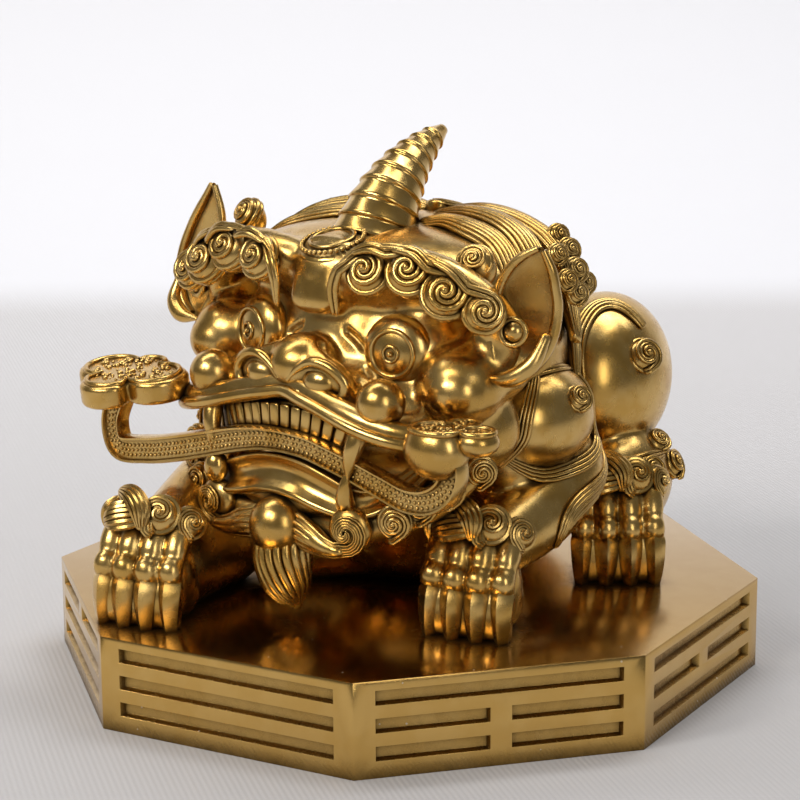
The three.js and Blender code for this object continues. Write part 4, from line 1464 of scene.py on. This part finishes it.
def lying_strands(skin, line, widths, count):
    """Strands that lie along a line on a finished piece."""
    path = smooth([[*point, width] for point, width in zip(line, widths)], 3)
    places, normals = seat(path[:, :3], skin, 0.3)
    for _ in range(3):
        places[1:-1] = (places[:-2] + 2 * places[1:-1] + places[2:]) / 4
        normals[1:-1] = unit(normals[:-2] + normals[1:-1] + normals[2:])
    return tress(places, path[:, 3], nearest_face(places, normals), count, arch=0.14)


def lying_curl(skin, centre, radius, hand):
    """A snail curl that stands on a finished piece."""
    (spot,), (normal,) = seat([centre], skin, radius * 0.3)
    return curl(spot, radius, normal + np.array([0, -0.3, 0.2]), hand)


# Strands on each side, measured from the spine: line, widths along it and number of strands.
SIDE_STRANDS = {
    "front of the shoulder": (
        [
            (42.5, -16, 86), (44.5, -21, 80.5), (45.2, -25.4, 74), (44.8, -27.6, 67.5),
            (43.6, -27.5, 61.5), (40.5, -31, 56.5),
        ],
        [2.0, 2.8, 3.2, 3.4, 3.2, 2.0],
        4,
    ),
    "crescent round the shoulder": (
        [
            (45.2, 2.5, 77.0), (47.6, 5.8, 72.5), (48.0, 7.4, 66.5), (47.0, 6.6, 60.0),
            (46.0, 2.0, 55.4), (45.6, -8, 53.2), (44.4, -17, 54.2), (41.6, -26.5, 58.6),
        ],
        [1.8, 2.6, 3.0, 3.2, 3.6, 3.8, 3.4, 2.0],
        4,
    ),
    "collar": (
        [(40, -22, 88.0), (43.6, -14, 85.5), (44.6, -2, 82), (42, 8, 81)], [3.0, 3.6, 3.6, 2.6], 4
    ),
    "tuft at the elbow": (
        [
            (43.8, 13.6, 68), (45.4, 14.4, 60.5), (47.6, 10.6, 53.4), (50.0, 0.3, 49.4),
            (48.6, -9.8, 47.4), (47.2, -15.8, 44.0), (47.6, -16.6, 38.5),
        ],
        [1.6, 3.0, 4.2, 5.2, 5.6, 4.8, 2.4],
        6,
    ),
    "edge of the haunch": (
        [
            (38.0, 18.4, 65), (35.4, 20.6, 73), (34.2, 23.3, 78.5), (33.9, 27.3, 82.2),
            (34.4, 32.3, 84.9), (37.5, 36, 86.0), (41.6, 37.0, 84.0), (44.4, 37.4, 80.0),
        ],
        [2.4, 3.4, 4.0, 4.2, 4.4, 4.4, 4.0, 3.0],
        4,
    ),
    "ankle": (
        [(44, 16, 50.5), (48.5, 15, 51.5), (53, 19.5, 51.4), (56, 28, 52), (55, 36, 51)],
        [2.0, 4.0, 4.4, 4.2, 2.4],
        4,
    ),
}
# Snail curls on each side, measured from the spine: place and radius.
SIDE_CURLS = [
    ((48.4, -9.6, 71.4), 3.4),
    ((46.6, 32.4, 74.2), 4.6),
    ((51.6, 18.6, 49.6), 3.6),
    ((55.4, 26.6, 48.6), 3.9),
    ((52.6, 37.6, 55.0), 3.6),
    ((52.2, 42, 46), 4.0),
]


class BRASS_OT_locks(bpy.types.Operator):
    """Model the strands and curls on shoulders, elbows, haunches and ankles"""

    bl_idname = "brass_beast.locks"
    bl_label = "Shoulder and leg locks"

    def execute(self, context):
        rows, parts = [], []
        skin = bpy.data.objects["beast_body"]
        for side in (1, -1):
            for line, widths, count in SIDE_STRANDS.values():
                gather(rows, parts, lying_strands(skin, body_line(line, side), widths, count))
            for centre, radius in SIDE_CURLS:
                gather(rows, parts, lying_curl(skin, body_line([centre], side)[0], radius, side))
        parts.append(tubes("body_strands", rows))
        piece(join("locks", parts), "beast_locks", "beast", finish("beast"))
        return {"FINISHED"}


# Tail


class BRASS_OT_tail(bpy.types.Operator):
    """Model the bushy tail laid over the back, with curls at its root"""

    bl_idname = "brass_beast.tail"
    bl_label = "Tail"

    def execute(self, context):
        line = [(3, 20, 91), (3, 34, 98), (3, 50, 98.5), (4, 64, 89), (4, 71, 76), (3, 69, 56)]
        widths = [6, 18, 22, 22, 20, 10]
        face = away_from(3, 40, 55)
        halves = [(3, 2), (9, 4.2), (10.6, 4.8), (10.6, 4.8), (9.6, 4.6), (5, 3.4)]
        parts = [bar(line, halves, face=face, sides=24, steps=6)]
        rows = lock(line, widths, face, 11, 0.2)
        for x, y, z, up in (
            (17, 52, 87, 0.6), (14, 64, 79, 0.4), (18, 42, 91, 0.8), (-10, 52, 87, 0.6),
            (-8, 64, 79, 0.4), (-12, 42, 91, 0.8), (15, 68, 68, 0.2), (-9, 68, 68, 0.2),
        ):
            side = 1 if x > 3 else -1
            gather(rows, parts, curl([x, y, z], 4.8, (side, 0.4, up), side))
        parts.append(ball((-3, 18, 95.5), (4.2, 4.2, 4.2)))
        parts.append(tubes("tail_strands", rows))
        piece(join("tail", parts), "beast_tail", "beast", finish("beast"))
        return {"FINISHED"}


# Stage

# The backdrop lies flat under the beast and bends up into a wall behind it.
BACKDROP_FRONT = -1500  # its near edge, before it is turned
BACKDROP_RUN = 2600  # from that edge over floor and wall to its top
BACKDROP_WIDTH = 3600
BEND_START = 430
BEND_RADIUS = 220
BACKDROP_TURN = math.radians(29.8)  # it stands square to the camera
# The camera: places in metres, its field of view across the picture and its roll in degrees.
CAMERA_PLACE = (0.2840, -0.4974, 0.1929)
CAMERA_AIM = (-0.000643, 0, 0.064233)
CAMERA_FIELD = 18.81
CAMERA_ROLL = -0.348


class BRASS_OT_stage(bpy.types.Operator):
    """Set the pale floor, the studio light and the camera"""

    bl_idname = "brass_beast.stage"
    bl_label = "Stage, light and camera"

    def execute(self, context):
        stage = context.scene.brass_stage
        deselect()
        bpy.ops.mesh.primitive_grid_add(x_subdivisions=4, y_subdivisions=60, size=1)
        floor = bpy.context.object
        points = corners(floor) * MM
        run = (points[:, 1] + 0.5) * BACKDROP_RUN + BACKDROP_FRONT
        wall = np.clip(run - BEND_START, 0, None)
        bend = np.clip(wall / BEND_RADIUS, 0, math.pi / 2)
        far = np.where(wall > 0, BEND_START + BEND_RADIUS * np.sin(bend), run)
        upright = np.clip(wall - BEND_RADIUS * math.pi / 2, 0, None)
        rise = np.where(wall > 0, BEND_RADIUS * (1 - np.cos(bend)) + upright, 0)
        across = points[:, 0] * BACKDROP_WIDTH
        cos, sin = math.cos(BACKDROP_TURN), math.sin(BACKDROP_TURN)
        move_corners(floor, np.c_[across * cos - far * sin, across * sin + far * cos, rise])
        floor.name = "stage_floor"
        bpy.ops.object.shade_smooth()
        floor.data.materials.append(woven_cloth(stage))

        world = bpy.data.worlds.new("studio")
        world.use_nodes = True
        background = world.node_tree.nodes["Background"]
        background.inputs["Color"].default_value = (0.24, 0.235, 0.23, 1)
        background.inputs["Strength"].default_value = 0.6
        context.scene.world = world
        context.scene.view_settings.view_transform = "Standard"

        for name, place, aim, size, power, colour in (
            ("key", (-0.42, -0.85, 0.78), (0, 0, 0.06), (0.24, 0.36), stage.key_power, (1.0, 0.97, 0.92)),
            (
                "key_two", (-0.10, -0.98, 0.80), (0, 0, 0.06), (0.2, 0.36), stage.key_power * 0.7,
                (1.0, 0.97, 0.92),
            ),
            (
                "side", (0.80, -0.62, 0.42), (0, 0, 0.06), (0.25, 0.6), stage.key_power * 0.36,
                (1.0, 0.98, 0.95),
            ),
            ("top", (0.15, 0.30, 1.0), (0, 0, 0.05), (0.6, 0.35), stage.key_power * 0.5, (1.0, 1.0, 1.0)),
            (
                "wall", (-0.12, 0.22, 0.9), (-0.6, 0.75, 0.1), (1.6, 0.3), stage.key_power * 2.1,
                (1.0, 1.0, 1.0),
            ),
        ):
            light = bpy.data.lights.new(name, "AREA")
            light.shape = "RECTANGLE"
            light.size, light.size_y = size
            light.energy = power
            light.color = colour
            lamp = bpy.data.objects.new(name, light)
            context.collection.objects.link(lamp)
            lamp.location = place
            lamp.rotation_euler = (Vector(aim) - Vector(place)).to_track_quat("-Z", "Y").to_euler()

        camera_data = bpy.data.cameras.new("camera")
        camera_data.sensor_fit = "HORIZONTAL"
        camera_data.angle = math.radians(CAMERA_FIELD)
        camera = bpy.data.objects.new("camera", camera_data)
        context.collection.objects.link(camera)
        look = (Vector(CAMERA_AIM) - Vector(CAMERA_PLACE)).to_track_quat("-Z", "Y").to_matrix().to_4x4()
        roll = Matrix.Rotation(math.radians(CAMERA_ROLL), 4, "Z")
        camera.location = CAMERA_PLACE
        camera.rotation_euler = (look @ roll).to_euler()
        context.scene.camera = camera
        return {"FINISHED"}


class BRASS_PT_panel(bpy.types.Panel):
    """Lists the beast's parts in the order in which they are made"""

    bl_idname = "BRASS_PT_panel"
    bl_label = "Brass beast"
    bl_space_type = "VIEW_3D"
    bl_region_type = "UI"
    bl_category = "Brass beast"

    def draw(self, context):
        scene = context.scene
        for settings in (scene.plinth_sizes, scene.beast_sizes, scene.brass_finish, scene.brass_stage):
            for key in settings.__annotations__:
                self.layout.prop(settings, key)
        for operator in OPERATORS:
            self.layout.operator(operator.bl_idname)


SETTINGS = {
    "plinth_sizes": PlinthSettings,
    "beast_sizes": BeastSettings,
    "brass_finish": FinishSettings,
    "brass_stage": StageSettings,
}
OPERATORS = [
    BRASS_OT_stage,
    BRASS_OT_plinth,
    BRASS_OT_body,
    BRASS_OT_paws,
    BRASS_OT_head,
    BRASS_OT_eyes,
    BRASS_OT_horn,
    BRASS_OT_brow,
    BRASS_OT_ears,
    BRASS_OT_mane,
    BRASS_OT_mouth,
    BRASS_OT_beard,
    BRASS_OT_sceptre,
    BRASS_OT_locks,
    BRASS_OT_tail,
]


def register():
    """Makes the settings, the operators and the panel known to Blender."""
    for name, group in SETTINGS.items():
        bpy.utils.register_class(group)
        setattr(bpy.types.Scene, name, bpy.props.PointerProperty(type=group))
    for operator in OPERATORS:
        bpy.utils.register_class(operator)
    bpy.utils.register_class(BRASS_PT_panel)


def unregister():
    """Takes back what register() does."""
    bpy.utils.unregister_class(BRASS_PT_panel)
    for operator in reversed(OPERATORS):
        bpy.utils.unregister_class(operator)
    for name, group in SETTINGS.items():
        delattr(bpy.types.Scene, name)
        bpy.utils.unregister_class(group)


def main():
    """Makes every part in order."""
    register()
    for operator in OPERATORS:
        _, name = operator.bl_idname.split(".")
        getattr(bpy.ops.brass_beast, name)()


if __name__ == "__main__":
    main()
